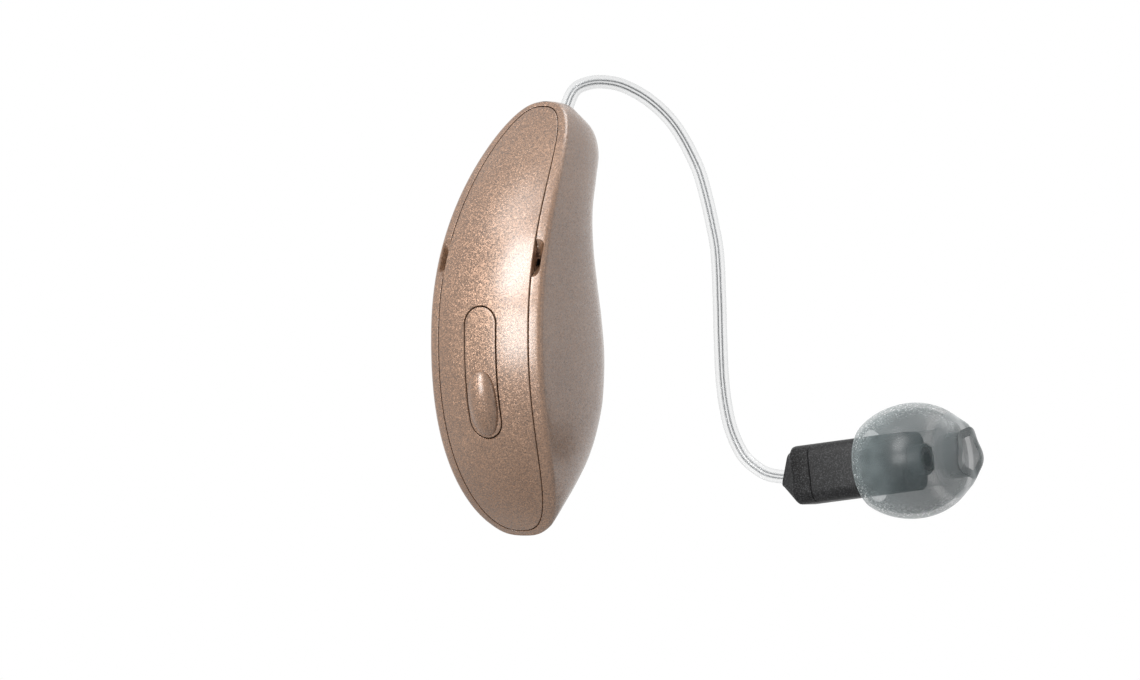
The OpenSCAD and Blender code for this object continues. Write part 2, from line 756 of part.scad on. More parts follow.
// Route of the lead, as shares of the way from the exit to the receiver along each axis
route_shares = [
    [0, 0.082, -0.047], [0, 0.194, -0.071], [0, 0.415, -0.084], [0.025, 0.639, -0.079],
    [0.064, 0.823, -0.056], [0.109, 0.952, -0.025], [0.158, 1.054, 0.015], [0.205, 1.118, 0.06],
    [0.252, 1.174, 0.118], [0.291, 1.193, 0.165], [0.335, 1.193, 0.229], [0.382, 1.183, 0.305],
    [0.424, 1.165, 0.383], [0.458, 1.128, 0.513], [0.479, 1.1, 0.619], [0.505, 1.073, 0.729],
    [0.545, 1.045, 0.811], [0.595, 1.027, 0.878], [0.679, 1.008, 0.94], [0.781, 0.999, 0.977],
    [0.868, 0.999, 0.994]
];
span = receiver_point - exit_point;
route = concat(
    [exit_point + (plug_front - tube_grip) * exit_axis, exit_point + plug_front * exit_axis],
    [for (s = route_shares) exit_point + [s[0] * span[0], s[1] * span[1], s[2] * span[2]]],
    [receiver_point, receiver_point + tube_grip * receiver_axis]);
route_steps = 3;
last_point = len(route) - 1;
function route_point(i) = i < 0 ? 2 * route[0] - route[1]
    : i > last_point ? 2 * route[last_point] - route[last_point - 1] : route[i];
lead_path = concat([for (i = [0 : last_point - 1]) for (k = [0 : route_steps - 1])
    smooth(route_point(i - 1), route_point(i), route_point(i + 1), route_point(i + 2),
        k / route_steps)], [route[last_point]]);
// Direction that no stretch of the lead follows, to lay out the rings round it
side_look = unit([1, -1, 1]);
function lead_ring(i, r, sides) = let (
        last = len(lead_path) - 1,
        t = unit(lead_path[min(last, i + 1)] - lead_path[max(0, i - 1)]),
        u = unit(cross(t, side_look)), v = cross(t, u))
    [for (k = [0 : sides - 1]) lead_path[i] + r * (cos(360 * k / sides) * u + sin(360 * k / sides) * v)];
module lead_tube(outer, inner, sides) {
    count = len(lead_path);
    last = (count - 1) * sides;
    walls = inner > 0 ? [outer / 2, inner / 2] : [outer / 2];
    second = count * sides;
    polyhedron(
        points = [for (r = walls) each [for (i = [0 : count - 1]) each lead_ring(i, r, sides)]],
        faces = concat(
            [for (i = [0 : count - 2]) each strip(i * sides, (i + 1) * sides, sides, true)],
            inner > 0
                ? concat(
                    [for (i = [0 : count - 2])
                        each strip(second + i * sides, second + (i + 1) * sides, sides)],
                    strip(0, second, sides), strip(last, second + last, sides, true))
                : concat(
                    [for (k = [1 : sides - 2]) [0, k + 1, k]],
                    [for (k = [1 : sides - 2]) [last, last + k, last + k + 1]])),
        convexity = 8);
}
module receiver_tube() {
    color(clear)
    lead_tube(tube_d, tube_bore, 10);
}
module lead_wires() {
    color(steel)
    lead_tube(wire_d, 0, 6);
}

// Receiver: a case with rounded corners, closed at the rear by a tapered cap
case_corner = 0.9;
module case_outline(grow) {
    r = case_corner;
    square([case_h + 2 * grow, case_w - 2 * r], center = true);
    square([case_h - 2 * r, case_w + 2 * grow], center = true);
    for (a = [-1, 1]) for (b = [-1, 1])
        translate([a * (case_h / 2 - r), b * (case_w / 2 - r)])
            circle(r + grow);
}
// Extrudes an outline of (height, width) along the receiver's axis
module case_length(start, end) {
    translate([start, 0, 0])
        rotate([0, 90, 0])
            linear_extrude(end - start)
                children();
}
module receiver_cap() {
    rear_h = case_h * 0.6;
    rear_w = case_w * 0.66;
    rear_rise = case_h / 8;
    rear_inset = cap_l * 0.08;
    rear_lean = 19;
    taper = cap_l * 0.45;
    color(black)
    at_receiver()
        difference() {
            union() {
                hull() {
                    case_length(taper, taper + seam_gap)
                        case_outline(0, $fn = 32);
                    translate([rear_inset, 0, rear_rise])
                        rotate([0, rear_lean, 0])
                            cube([seam_gap, rear_w, rear_h], center = true);
                }
                case_length(taper, cap_l)
                    case_outline(0);
                case_length(cap_l - overrun, cap_l + overrun)
                    case_outline(-case_wall - seat_gap);
            }
            along(-overrun, tube_grip + seat_gap, tube_d + 2 * seat_gap);
            along(tube_grip, cap_l + 2 * overrun, wire_d + 2 * seat_gap);
        }
}
front_t = 0.7;
module receiver_case() {
    color(black)
    at_receiver()
        difference() {
            case_length(cap_l + seat_gap, case_l)
                case_outline(0);
            case_length(cap_l - overrun, case_l - front_t)
                case_outline(-case_wall);
            along(case_l - front_t - overrun, case_l + overrun, spout_d + 2 * seat_gap);
        }
}
driver_h = 2.9;
driver_w = 2.4;
driver_start = cap_l + 2 * overrun;
driver_end = case_l - front_t - overrun;
module armature_driver() {
    color(steel)
    at_receiver()
        translate([driver_start, -driver_w / 2, -driver_h / 2])
            cube([driver_end - driver_start, driver_w, driver_h]);
}
boot_l = 1.4;
module driver_boot() {
    color(graphite)
    at_receiver()
        difference() {
            case_length(driver_end - 2 * boot_l, driver_end - boot_l)
                case_outline(-case_wall - seat_gap);
            translate([driver_end - 3 * boot_l, -driver_w / 2 - seat_gap, -driver_h / 2 - seat_gap])
                cube([3 * boot_l, driver_w + 2 * seat_gap, driver_h + 2 * seat_gap]);
        }
}
spout_end = case_l + spout_l;
module sound_spout() {
    color(black)
    at_receiver()
        difference() {
            along(case_l - front_t + seat_gap, spout_end, spout_d);
            along(case_l - front_t - overrun, spout_end + overrun, spout_bore);
        }
}
guard_l = 0.6;
guard_bore = 1.1;
module wax_guard() {
    color("white")
    at_receiver()
        difference() {
            along(spout_end - guard_l, spout_end, spout_bore - 2 * seat_gap);
            along(spout_end - guard_l - overrun, spout_end + overrun, guard_bore);
        }
}

// Dome: a soft skirt, two arcs of ellipses, that sweeps back from a hub. The nose is a cone cut
// flat, with a chamber in front of the sound outlet.
dome_mid = case_l;
nose_length_share = 0.7;
nose_width_share = 0.73;
tip_share = 0.48;
outlet_share = 0.35;
shoulder_l = dome_nose * nose_length_share;
shoulder_d = dome_d * nose_width_share;
tip_d = dome_d * tip_share;
outlet_l = dome_nose * outlet_share;
hub_inset = 0.1;
widest_angle = 90;
rear_steps = 12;
nose_steps = 7;
// How far along its axis an ellipse lies from its widest place where its diameter is d
function along_share(d, widest) = sqrt(1 - pow(d / widest, 2));
// Arc of an ellipse between two angles; with first = 1 it leaves out its first point
function dome_arc(reach, widest, from, to, steps, first = 0) = [for (i = [first : steps])
    let (a = mix(from, to, i / steps)) [dome_mid + reach * cos(a), widest / 2 * sin(a)]];
module ear_dome() {
    rear_reach = dome_back / along_share(dome_rim_d, dome_d);
    front_reach = shoulder_l / along_share(shoulder_d, dome_d);
    rim_angle = 180 - asin(dome_rim_d / dome_d);
    shoulder_angle = asin(shoulder_d / dome_d);
    inner_d = dome_d - 2 * dome_t;
    hub_start = case_l + hub_inset;
    grip_end = spout_end + seat_gap;
    outlet_r = spout_bore / 2;
    chamber_r = hub_d / 2 - dome_t;
    tip = dome_mid + dome_nose;
    floor = spout_end + outlet_l;
    color(smoke)
    at_receiver()
        rotate([0, 90, 0])
            rotate_extrude($fn = 64)
                polygon([for (p = concat(
                    dome_arc(rear_reach, dome_d, rim_angle, widest_angle, rear_steps),
                    dome_arc(front_reach, dome_d, widest_angle, shoulder_angle, nose_steps, 1),
                    [[tip, tip_d / 2], [tip, chamber_r], [floor, chamber_r], [floor, outlet_r],
                        [grip_end, outlet_r], [grip_end, spout_d / 2 + seat_gap],
                        [hub_start, spout_d / 2 + seat_gap], [hub_start, hub_d / 2],
                        [floor, hub_d / 2]],
                    dome_arc(front_reach - dome_t, inner_d, shoulder_angle, widest_angle, nose_steps),
                    dome_arc(rear_reach, inner_d, widest_angle, rim_angle, rear_steps, 1)))
                    [p[1], p[0]]]);
}

main_housing();
spine_cover();
chassis();
circuit_board();
signal_processor();
radio_chip();
board_components();
microphone(-1);  // microphone_left
microphone(1);  // microphone_right
mic_gasket(-1);  // mic_gasket_left
mic_gasket(1);  // mic_gasket_right
mic_screen(-1);  // mic_screen_left
mic_screen(1);  // mic_screen_right
battery_cell();
battery_tabs();
ferrite_sheet();
charge_coil();
antenna();
link_flex();
plug_socket();
socket_contacts();
socket_seal();
button_pin();
switch_base();
switch_dome();
push_button();
receiver_plug();
plug_contacts();
receiver_tube();
lead_wires();
receiver_cap();
receiver_case();
armature_driver();
driver_boot();
sound_spout();
wax_guard();
ear_dome();
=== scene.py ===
import math

import bmesh
import bpy
import numpy as np
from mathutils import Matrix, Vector


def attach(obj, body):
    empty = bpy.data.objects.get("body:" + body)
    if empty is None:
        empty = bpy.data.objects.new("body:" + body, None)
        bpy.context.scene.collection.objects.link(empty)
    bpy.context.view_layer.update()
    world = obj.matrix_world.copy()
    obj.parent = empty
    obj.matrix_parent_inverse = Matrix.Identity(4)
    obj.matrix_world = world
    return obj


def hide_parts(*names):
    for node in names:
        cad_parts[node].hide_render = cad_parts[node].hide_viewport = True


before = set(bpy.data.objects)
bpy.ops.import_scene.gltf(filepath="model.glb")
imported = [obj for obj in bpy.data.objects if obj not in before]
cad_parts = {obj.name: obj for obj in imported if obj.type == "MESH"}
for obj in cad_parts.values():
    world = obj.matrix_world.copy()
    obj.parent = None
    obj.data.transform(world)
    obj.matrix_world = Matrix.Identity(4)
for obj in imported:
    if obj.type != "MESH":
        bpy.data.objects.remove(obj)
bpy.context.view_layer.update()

# Sizes of the part, in millimetres, with +Z up, -Y the spine and +X towards the head. The body's outline
# is made of arches, each with two powers: how late it turns, and how full its end is.
MM = 0.001
BODY_H, BODY_W, BODY_D, CROWN_Z = 30.05, 8.9, 12.8, 7.85
SPINE_BOW, RIDGE_R, BAND_W, BAND_END = 0.8, 0.3, 0.85, 0.33
WALL, COVER_T, FLANGE_T, FLANGE_W = 0.7, 0.45, 0.5, 0.6
CROWN_WALL, HEEL_WALL, SEAM_GAP, SEAT_GAP = 1.1, 2.4, 0.06, 0.03
BUTTON_W, BUTTON_L, BUTTON_TOP, BUTTON_GAP = 2.4, 9, 6.4, 0.08
BUMP_L, BUMP_W, BUMP_H, BUMP_OUTLINE, BUMP_CROWN = 4.5, 2.2, 0.75, 2.3, 0.55
PIVOT_D, PIVOT_DEPTH, EAR_T, EAR_W, LUG_W = 0.5, 1, 0.5, 1, 0.9
PLUNGER_D, PLUNGER_L, PLUNGER_SHARE = 1, 1.5, 0.27
SLOT_L, SLOT_W, SLOT_DROP = 2.55, 0.55, 3.05
TUBE_D, TUBE_BORE, TUBE_GRIP = 0.95, 0.45, 0.6
PLUG_D, PLUG_FRONT, PLUG_RUN, SOCKET_D, SOCKET_FRONT, SOCKET_DEPTH = 2, -0.15, 0.1, 3, 2, 4.8
EXIT_RISE, EXIT_ANGLE, TILT = math.radians(55), math.radians(17), math.radians(7)
RECEIVER = np.array([11.9, 11.05, -18.25])
CASE_L, CASE_H, CASE_W, CASE_CORNER, CASE_WALL, CAP_L = 9.9, 4.1, 3.6, 0.9, 0.35, 2.5
SPOUT_D, SPOUT_BORE, SPOUT_L = 2.2, 1.7, 1
DOME_D, DOME_RIM_D, DOME_BACK, DOME_NOSE, DOME_T, HUB_D = 8.05, 6.1, 3.25, 4.4, 0.35, 3.9
EDGE = 0.05  # softening of a moulded edge
CAP_LEAN, CAP_INSET, CAP_RISE = math.radians(19), CAP_L * 0.08, CASE_H / 8

HEEL_Z = CROWN_Z - BODY_H
MID_Z = (CROWN_Z + HEEL_Z) / 2
WIDEST_Z, REARMOST_Z = HEEL_Z + 0.423 * BODY_H, HEEL_Z + 0.456 * BODY_H
SHOULDER_Z, LOWER_Z = HEEL_Z + 0.67 * BODY_H, HEEL_Z + 0.306 * BODY_H
CROWN_SWEEP, HEEL_SWEEP = 0.7, 0.484
CROWN_ARCH, HEEL_ARCH = (2.42, 2.67), (3.6, 2.55)
CROWN_SWEEP_ARCH, HEEL_SWEEP_ARCH = (2.16, 0.91), (2.2, 1.15)
BELLY_POWER, END_POWER = 3.5, 2.1
SIDE_ROWS = np.array([
    CROWN_SWEEP, 0.866, 0.947, 1.068, 1.082, 0.998, 0.909, 0.88, 0.918, 0.971, 1.005, 0.99, 0.944,
    0.859, 0.73, 0.599, 0.507, 0.467, HEEL_SWEEP])
ROUTE = np.array([
    [0, 0.082, -0.047], [0, 0.194, -0.071], [0, 0.415, -0.084], [0.025, 0.639, -0.079],
    [0.064, 0.823, -0.056], [0.109, 0.952, -0.025], [0.158, 1.054, 0.015], [0.205, 1.118, 0.06],
    [0.252, 1.174, 0.118], [0.291, 1.193, 0.165], [0.335, 1.193, 0.229], [0.382, 1.183, 0.305],
    [0.424, 1.165, 0.383], [0.458, 1.128, 0.513], [0.479, 1.1, 0.619], [0.505, 1.073, 0.729],
    [0.545, 1.045, 0.811], [0.595, 1.027, 0.878], [0.679, 1.008, 0.94], [0.781, 0.999, 0.977],
    [0.868, 0.999, 0.994]])
LEVELS, FLANK_STEPS, PLATE_STEPS = 150, 72, 48
VIEW_AZIMUTH = 30  # degrees from the spine's side towards the head


# The shape of the body

def mix(a, b, t):
    """From a to b in the proportion t."""
    return a + (b - a) * t


def arch(r, rise, fall):
    """Falls from 1 to 0 as r grows from 0 to 1: one minus r to one power, to the inverse of another."""
    return (1 - np.clip(r, 0, 1) ** rise) ** (1 / fall)


def half_width(z, half, top, bottom):
    """Half the width of the outline at height z: an arch up from the widest place and one down from it."""
    return half * np.where(z > WIDEST_Z, arch((z - WIDEST_Z) / (top - WIDEST_Z), *CROWN_ARCH),
                           arch((WIDEST_Z - z) / (WIDEST_Z - bottom), *HEEL_ARCH))


def smooth(a, b, c, d, t):
    """Smooth curve through four values, from the second to the third (Catmull-Rom)."""
    return (2 * b + (c - a) * t + (2 * a - 5 * b + 4 * c - d) * t ** 2 + (3 * b - a - 3 * c + d) * t ** 3) / 2


def through(rows, k):
    """Smooth curve through the rows, at the places k counted in rows, run on straight past its ends."""
    rows = np.concatenate([[2 * rows[0] - rows[1]], rows, [2 * rows[-1] - rows[-2]]])
    i = np.minimum(len(rows) - 4, np.floor(k)).astype(int)
    t = (k - i).reshape(k.shape + (1,) * (rows.ndim - 1))
    return smooth(rows[i], rows[i + 1], rows[i + 2], rows[i + 3], t)


def spine_sweep(z):
    """Spine at height z: it leans forward to the crown and to the heel, each by one minus an arch."""
    to_crown = arch((z - REARMOST_Z) / (CROWN_Z - REARMOST_Z), *CROWN_SWEEP_ARCH)
    to_heel = arch((REARMOST_Z - z) / (REARMOST_Z - HEEL_Z), *HEEL_SWEEP_ARCH)
    return BODY_D * np.where(z > REARMOST_Z, CROWN_SWEEP * (1 - to_crown), HEEL_SWEEP * (1 - to_heel))


def ear_sweep(z):
    """Ear side at height z: a smooth curve through shares of the depth, at equal angles round the outline."""
    turn = np.arccos(np.clip((np.asarray(z, float) - MID_Z) / (BODY_H / 2), -1, 1)) / math.pi
    return BODY_D * through(SIDE_ROWS, (len(SIDE_ROWS) - 1) * turn)


SEAT_SWEEP = float(ear_sweep(0.0))


def spine_y(z):
    """Spine in the part's frame, with the ear seat at zero."""
    return spine_sweep(np.asarray(z, float)) - SEAT_SWEEP


def ear_y(z):
    """Ear side in the part's frame."""
    return ear_sweep(z) - SEAT_SWEEP


def back_y(x, z):
    """The back surface: the spine, bowed forward with the square of the distance from the middle."""
    return spine_y(z) + SPINE_BOW * (2 * x / BODY_W) ** 2


def ridge_y(z):
    """The back surface at the edge of the outline."""
    return back_y(half_width(z, BODY_W / 2, CROWN_Z, HEEL_Z), z)


def flank_power(z):
    """Power of the flank's superellipse: squarer at the belly, nearly round at the crown and the heel."""
    end = np.maximum(np.clip((z - SHOULDER_Z) / (CROWN_Z - SHOULDER_Z), 0, 1),
                     np.clip((LOWER_Z - z) / (LOWER_Z - HEEL_Z), 0, 1))
    return mix(BELLY_POWER, END_POWER, end)


def seat_depth(z):
    """Depth of the cover's seat under the back surface, thinner where the body thins out."""
    return np.minimum(COVER_T + SEAT_GAP, (ear_y(z) - spine_y(z)) / 2)


def cover_depth(z):
    """Thickness of the cover at height z, a running gap less than its seat."""
    return seat_depth(z) - SEAT_GAP * (COVER_T + SEAT_GAP) / np.maximum(seat_depth(z), 0.01)


# Surfaces out of grids of points

def heights(top, bottom, steps=LEVELS):
    """Heights from top to bottom, closer together towards both ends (by a cosine)."""
    return mix(bottom, top, (1 + np.cos(np.linspace(0, math.pi, steps + 1))) / 2)


def half_turn(steps):
    """Angles from 0 to 180 degrees, spread so that a superellipse gets its points evenly."""
    s = np.linspace(0, 2, steps + 1)
    q = np.where(s > 1, 2 - s, s)
    a = q ** 1.5 / (q ** 1.5 + (1 - q) ** 1.5) * math.pi / 2
    return np.where(s > 1, math.pi - a, a)


def body_ring(side_inset, top_inset, bottom_inset, face):
    """Closed ring inside the body's outline, down the head side and up the other; face(x, z) gives y."""
    top, bottom = CROWN_Z - top_inset, HEEL_Z + bottom_inset
    z = heights(top, bottom)
    x = half_width(z, BODY_W / 2 - side_inset, top, bottom)
    x, z = np.concatenate([x, -x[-2::-1]]), np.concatenate([z, z[-2::-1]])
    return np.stack([x, face(x, z), z], -1)


def flank_grid(steps, side_inset, top_inset, bottom_inset, back, front):
    """Superellipse from one side over the front to the other, at each height between back and front."""
    top, bottom = CROWN_Z - top_inset, HEEL_Z + bottom_inset
    z = heights(top, bottom)
    half = half_width(z, BODY_W / 2 - side_inset, top, bottom)
    a, p = half_turn(steps)[None], (2 / flank_power(z))[:, None]
    x = np.sign(np.cos(a)) * half[:, None] * np.abs(np.cos(a)) ** p
    x[:, steps // 2] = 0
    y = mix(back(half, z)[:, None], front(half, z)[:, None], np.clip(np.sin(a), 0, 1) ** p)
    y[:, -1] = y[:, 0]
    x[:, -1] = -x[:, 0]
    return np.stack([x, y, np.broadcast_to(z[:, None], x.shape)], -1)


def spine_grid(steps, side_inset, end_inset, face):
    """Plate face across the spine: at each height, points from side to side; face(x, z) gives y."""
    top, bottom = CROWN_Z - end_inset, HEEL_Z + end_inset
    z = heights(top, bottom)
    half = half_width(z, BODY_W / 2 - side_inset, top, bottom)
    x = half[:, None] * np.cos(np.linspace(0, math.pi, steps + 1))
    z = np.broadcast_to(z[:, None], x.shape)
    return np.stack([x, face(x, z), z], -1)


def joined(patches):
    """Points and faces of one skin: points that coincide are merged, and faces that shrink to a line go."""
    points, quads, first = [], [], 0
    for patch in patches:
        rows, columns = patch.shape[:2]
        i = first + np.arange(rows * columns).reshape(rows, columns)
        quads.append(np.stack([i[:-1, :-1], i[1:, :-1], i[1:, 1:], i[:-1, 1:]], -1).reshape(-1, 4))
        points.append(patch.reshape(-1, 3))
        first += rows * columns
    points, quads = np.concatenate(points), np.concatenate(quads)
    # Points in the same cell of 0.0001 mm are one; the shift keeps round measures off the cells' edges
    grid, off_step = 1e4, 0.137
    _, kept, place = np.unique(np.floor(points * grid + off_step).astype(np.int64), axis=0,
                               return_index=True, return_inverse=True)
    quads = place.reshape(-1)[quads]
    same = quads == np.roll(quads, -1, 1)
    crossed = (quads[:, 0] == quads[:, 2]) | (quads[:, 1] == quads[:, 3])
    whole = quads[(same.sum(1) == 0) & ~crossed]
    cut = (same.sum(1) == 1) & ~crossed
    corners = quads[cut][~same[cut]].reshape(-1, 3)
    return points[kept], whole.tolist() + corners.tolist()


def linked(name, patches):
    """Object out of patches in millimetres, linked to the scene."""
    points, faces = joined(patches)
    mesh = bpy.data.meshes.new(name)
    mesh.from_pydata((points * MM).tolist(), [], faces)
    made = bpy.data.objects.new(name, mesh)
    bpy.context.scene.collection.objects.link(made)
    return made


def piece(name, patches, sharp=35):
    """Closed object out of patches, with its normals outward and edges sharper than an angle in degrees."""
    made = linked(name, patches)
    solid = bmesh.new()
    solid.from_mesh(made.data)
    bmesh.ops.recalc_face_normals(solid, faces=solid.faces)
    solid.to_mesh(made.data)
    solid.free()
    dress(made, sharp)
    return made


def dress(made, sharp=35):
    """Smooth shading, broken at edges sharper than an angle in degrees."""
    made.data.shade_smooth()
    made.data.set_sharp_from_angle(angle=math.radians(sharp))


def cut(made, cutters):
    """Takes the cutters out of a piece and keeps the result as its mesh."""
    for cutter in cutters:
        tool = made.modifiers.new(cutter.name, "BOOLEAN")
        tool.object, tool.operation, tool.solver = cutter, "DIFFERENCE", "EXACT"
    bpy.context.view_layer.update()
    finished = made.evaluated_get(bpy.context.evaluated_depsgraph_get())
    result = bpy.data.meshes.new_from_object(finished)
    made.modifiers.clear()
    made.data = result
    for cutter in cutters:
        bpy.data.objects.remove(cutter)
    dress(made)


def rings(rows):
    """Skin through closed rings of the same number of points."""
    return np.stack([np.concatenate([r, r[:1]]) for r in rows])


def lid(ring):
    """Closes a ring with faces to its middle."""
    return rings([ring, np.broadcast_to(ring.mean(0), ring.shape)])


def circle(r, sides=48):
    """Circle of radius r as two rows of coordinates, closed."""
    a = np.linspace(0, 2 * math.pi, sides + 1)
    a[-1] = 0
    return r * np.cos(a), r * np.sin(a)


def turned(profile, place, sides=48, close=True):
    """Profile of (distance along the axis, radius) turned once round; place(l, u, v) puts it in the frame."""
    profile = np.asarray(profile + [profile[0]] if close else profile, float)
    c, s = circle(1, sides)
    l = np.broadcast_to(profile[:, :1], (len(profile), sides + 1))
    return place(l, profile[:, 1:] * c, profile[:, 1:] * s)


EXIT_Z = MID_Z + BODY_H / 2 * math.cos(EXIT_ANGLE)
EXIT = np.array([0, float(ear_y(EXIT_Z)), EXIT_Z])
EXIT_AXIS = np.array([0, math.cos(EXIT_RISE), math.sin(EXIT_RISE)])
HEAD_AXIS = np.array([math.cos(TILT), 0, math.sin(TILT)])


def at_exit(l, u, v):
    """Point at distance l along the plug's axis from the crown, and u and v across it."""
    return EXIT + l[..., None] * EXIT_AXIS + u[..., None] * np.array([1, 0, 0]) \
        + v[..., None] * np.array([0, -EXIT_AXIS[2], EXIT_AXIS[1]])


def at_receiver(l, u, v):
    """Point at distance l along the receiver's axis from its rear, u across it and v up."""
    return RECEIVER + l[..., None] * HEAD_AXIS + u[..., None] * np.array([0, 1, 0]) \
        + v[..., None] * np.array([-HEAD_AXIS[2], 0, HEAD_AXIS[0]])


# Housing: flank, softened ridge, band, seam, seat and flange of the cover, and the cavity

def slot_cutter(side):
    """Scoop of a sound slot: rings shrink from its outline to the port, and sink by one minus a power."""
    corner, inner, margin, above = SLOT_W * 0.9, FLANGE_W, 0.4, 0.4
    a = np.linspace(0, math.pi / 2, 13)
    half = float(half_width(-SLOT_DROP, BODY_W / 2, CROWN_Z, HEEL_Z)) - BAND_W
    port_x, port_z, port_depth, port_power = -0.14, -0.35, 1.35, 0.95

    def outline(grow):
        r, top = corner + grow, SLOT_L / 2 + grow
        reach = np.linspace(corner - SLOT_L / 2, SLOT_L / 2 - corner, 13)[1:-1]
        x = np.concatenate([np.linspace(-inner, SLOT_W - corner, 7)[:-1], SLOT_W - corner + r * np.sin(a),
                            np.full(11, SLOT_W + grow), SLOT_W - corner + r * np.cos(a),
                            np.linspace(SLOT_W - corner, -inner, 7)[1:], np.full(11, -inner)])
        z = np.concatenate([np.full(6, top), SLOT_L / 2 - corner + r * np.cos(a), reach[::-1],
                            corner - SLOT_L / 2 - r * np.sin(a), np.full(6, -top),
                            np.linspace(-top, top, 13)[1:-1]])
        return x, z
    rows = []
    for depth, grow in ((-above, margin + EDGE), (EDGE, 0)):
        x, z = outline(grow)
        x, z = side * (half + x), z - SLOT_DROP
        rows.append(np.stack([x, back_y(x, z) + depth, z], -1))
    x, z = outline(0)
    for t in np.linspace(1, 0, 15)[1:]:
        px, pz = mix(port_x, x, t), mix(port_z, z, t)
        px, pz = side * (half + px), pz - SLOT_DROP
        depth = mix(EDGE, port_depth, (1 - t) ** port_power)
        rows.append(np.stack([px, back_y(px, pz) + depth, pz], -1))
    return piece("slot_cutter", [rings(rows), lid(rows[0])])


def make_housing():
    """Rings at growing distances inside the outline join the outer flank to the wall of the cavity."""
    def drop(z):
        return np.minimum(RIDGE_R, (ear_y(z) - ridge_y(z)) / 3)

    def seat(x, z):
        return back_y(x, z) + seat_depth(z)

    def under(x, z):
        return seat(x, z) + 1.5 * FLANGE_T

    rows = []
    for t in np.radians(np.linspace(0, 90, 8)):
        inset = RIDGE_R * (1 - math.cos(t))
        rows.append(body_ring(inset, inset / 3, inset / 3,
                              lambda x, z, t=t: back_y(x, z) + drop(z) * (1 - math.sin(t))))
    rim_z = rows[0][:, 2]
    rows[0][:, 1] = ridge_y(rim_z) + drop(rim_z)
    for share in (0.33, 0.66):
        end = mix(RIDGE_R / 3, BAND_END - EDGE, share)
        rows.append(body_ring(mix(RIDGE_R, BAND_W - EDGE, share), end, end, back_y))
    for t in np.radians(np.linspace(0, 90, 5)):
        inset = EDGE * (math.sin(t) - 1)
        rows.append(body_ring(BAND_W + inset, BAND_END + inset, BAND_END + inset,
                              lambda x, z, t=t: back_y(x, z) + EDGE * (1 - math.cos(t))))
    flange_end = BAND_END + FLANGE_W + WALL / 2
    for inset, end in ((BAND_W, BAND_END), (BAND_W + FLANGE_W / 2, (BAND_END + flange_end) / 2),
                       (BAND_W + FLANGE_W, flange_end)):
        rows.append(body_ring(inset, end, end, seat))
    rows.append(body_ring(BAND_W + FLANGE_W, flange_end, flange_end, lambda x, z: seat(x, z) + FLANGE_T))
    rows.append(body_ring(WALL, CROWN_WALL, HEEL_WALL, under))
    outside = flank_grid(FLANK_STEPS, 0, 0, 0, lambda half, z: ridge_y(z) + drop(z), lambda half, z: ear_y(z))
    cavity_top, cavity_bottom = CROWN_Z - CROWN_WALL, HEEL_Z + HEEL_WALL
    middle, reach = (cavity_top + cavity_bottom) / 2, (cavity_top - cavity_bottom) / 2
    cavity = flank_grid(FLANK_STEPS // 3, WALL, CROWN_WALL, HEEL_WALL, under, lambda half, z: mix(
        under(half, z), ear_y(z) - WALL, arch(np.abs(z - middle) / reach, 4, 2)))
    made = piece("housing_moulding", [np.stack(rows), outside, cavity])
    hole = PLUG_D / 2 + PLUG_RUN
    step = SOCKET_D / 2 + SEAT_GAP
    inner_end, outer_end, flare = SOCKET_DEPTH + 0.3, 1.4, 0.15
    bore = piece("exit_cutter", [turned(
        [(-inner_end, 0), (-inner_end, step), (-SOCKET_FRONT, step), (-SOCKET_FRONT, hole),
         (-0.3, hole), (outer_end, hole + flare), (outer_end, 0)], at_exit, 64, False)])
    cut(made, [slot_cutter(1), slot_cutter(-1), bore])
    return made


# Cover of the spine with the button's opening, and the two ears of the pivot

def pill(grow, steps=128):
    """Outline of the button as (x, z): two straight sides and two round ends, at even distances."""
    r, run = BUTTON_W / 2 + grow, BUTTON_L - BUTTON_W
    s = np.linspace(0, 2 * run + 2 * math.pi * r, steps + 1)[:-1]
    arc = math.pi * r
    a = np.where(s < arc, s / r, (s - arc - run) / r + math.pi)
    on_side = ((s > arc) & (s < arc + run)) | (s > 2 * arc + run)
    x = np.where(on_side, np.where(s > 2 * arc + run, r, -r), r * np.cos(a))
    z = np.where(s <= arc, run / 2 + r * np.sin(a),
                 np.where(s < arc + run, run / 2 - (s - arc),
                          np.where(s <= 2 * arc + run, -run / 2 + r * np.sin(a), s - 2 * arc - run - run / 2)))
    return x, z - BUTTON_TOP - BUTTON_L / 2


def pierced_block(x0, x1, y, z, depth, height, bore):
    """Block between two planes across x, with a round bore along x: a superellipse round a circle."""
    c, s = circle(1)
    power = 12
    k = (np.abs(c) ** power + np.abs(s) ** power) ** (-1 / power)

    def ring(x):
        return np.stack([np.full(c.shape, x), y + bore * c, z + bore * s], -1)

    def edge(x, inset):
        return np.stack([np.full(c.shape, x), y + (depth / 2 - inset) * c * k,
                         z + (height / 2 - inset) * s * k], -1)
    return np.stack([ring(x0), edge(x0, EDGE), edge(x0 + EDGE, 0), edge(x1 - EDGE, 0), edge(x1, EDGE),
                     ring(x1), ring(x0)])


PIVOT_Z = -BUTTON_TOP - BUTTON_W / 2
PIVOT_Y = float(spine_y(PIVOT_Z)) + PIVOT_DEPTH
PIVOT_SUNK = 0.15  # how far the pivot's ears and lug reach into the cover and the button
PIVOT_REACH = 2 * (PIVOT_DEPTH - COVER_T + PIVOT_SUNK)


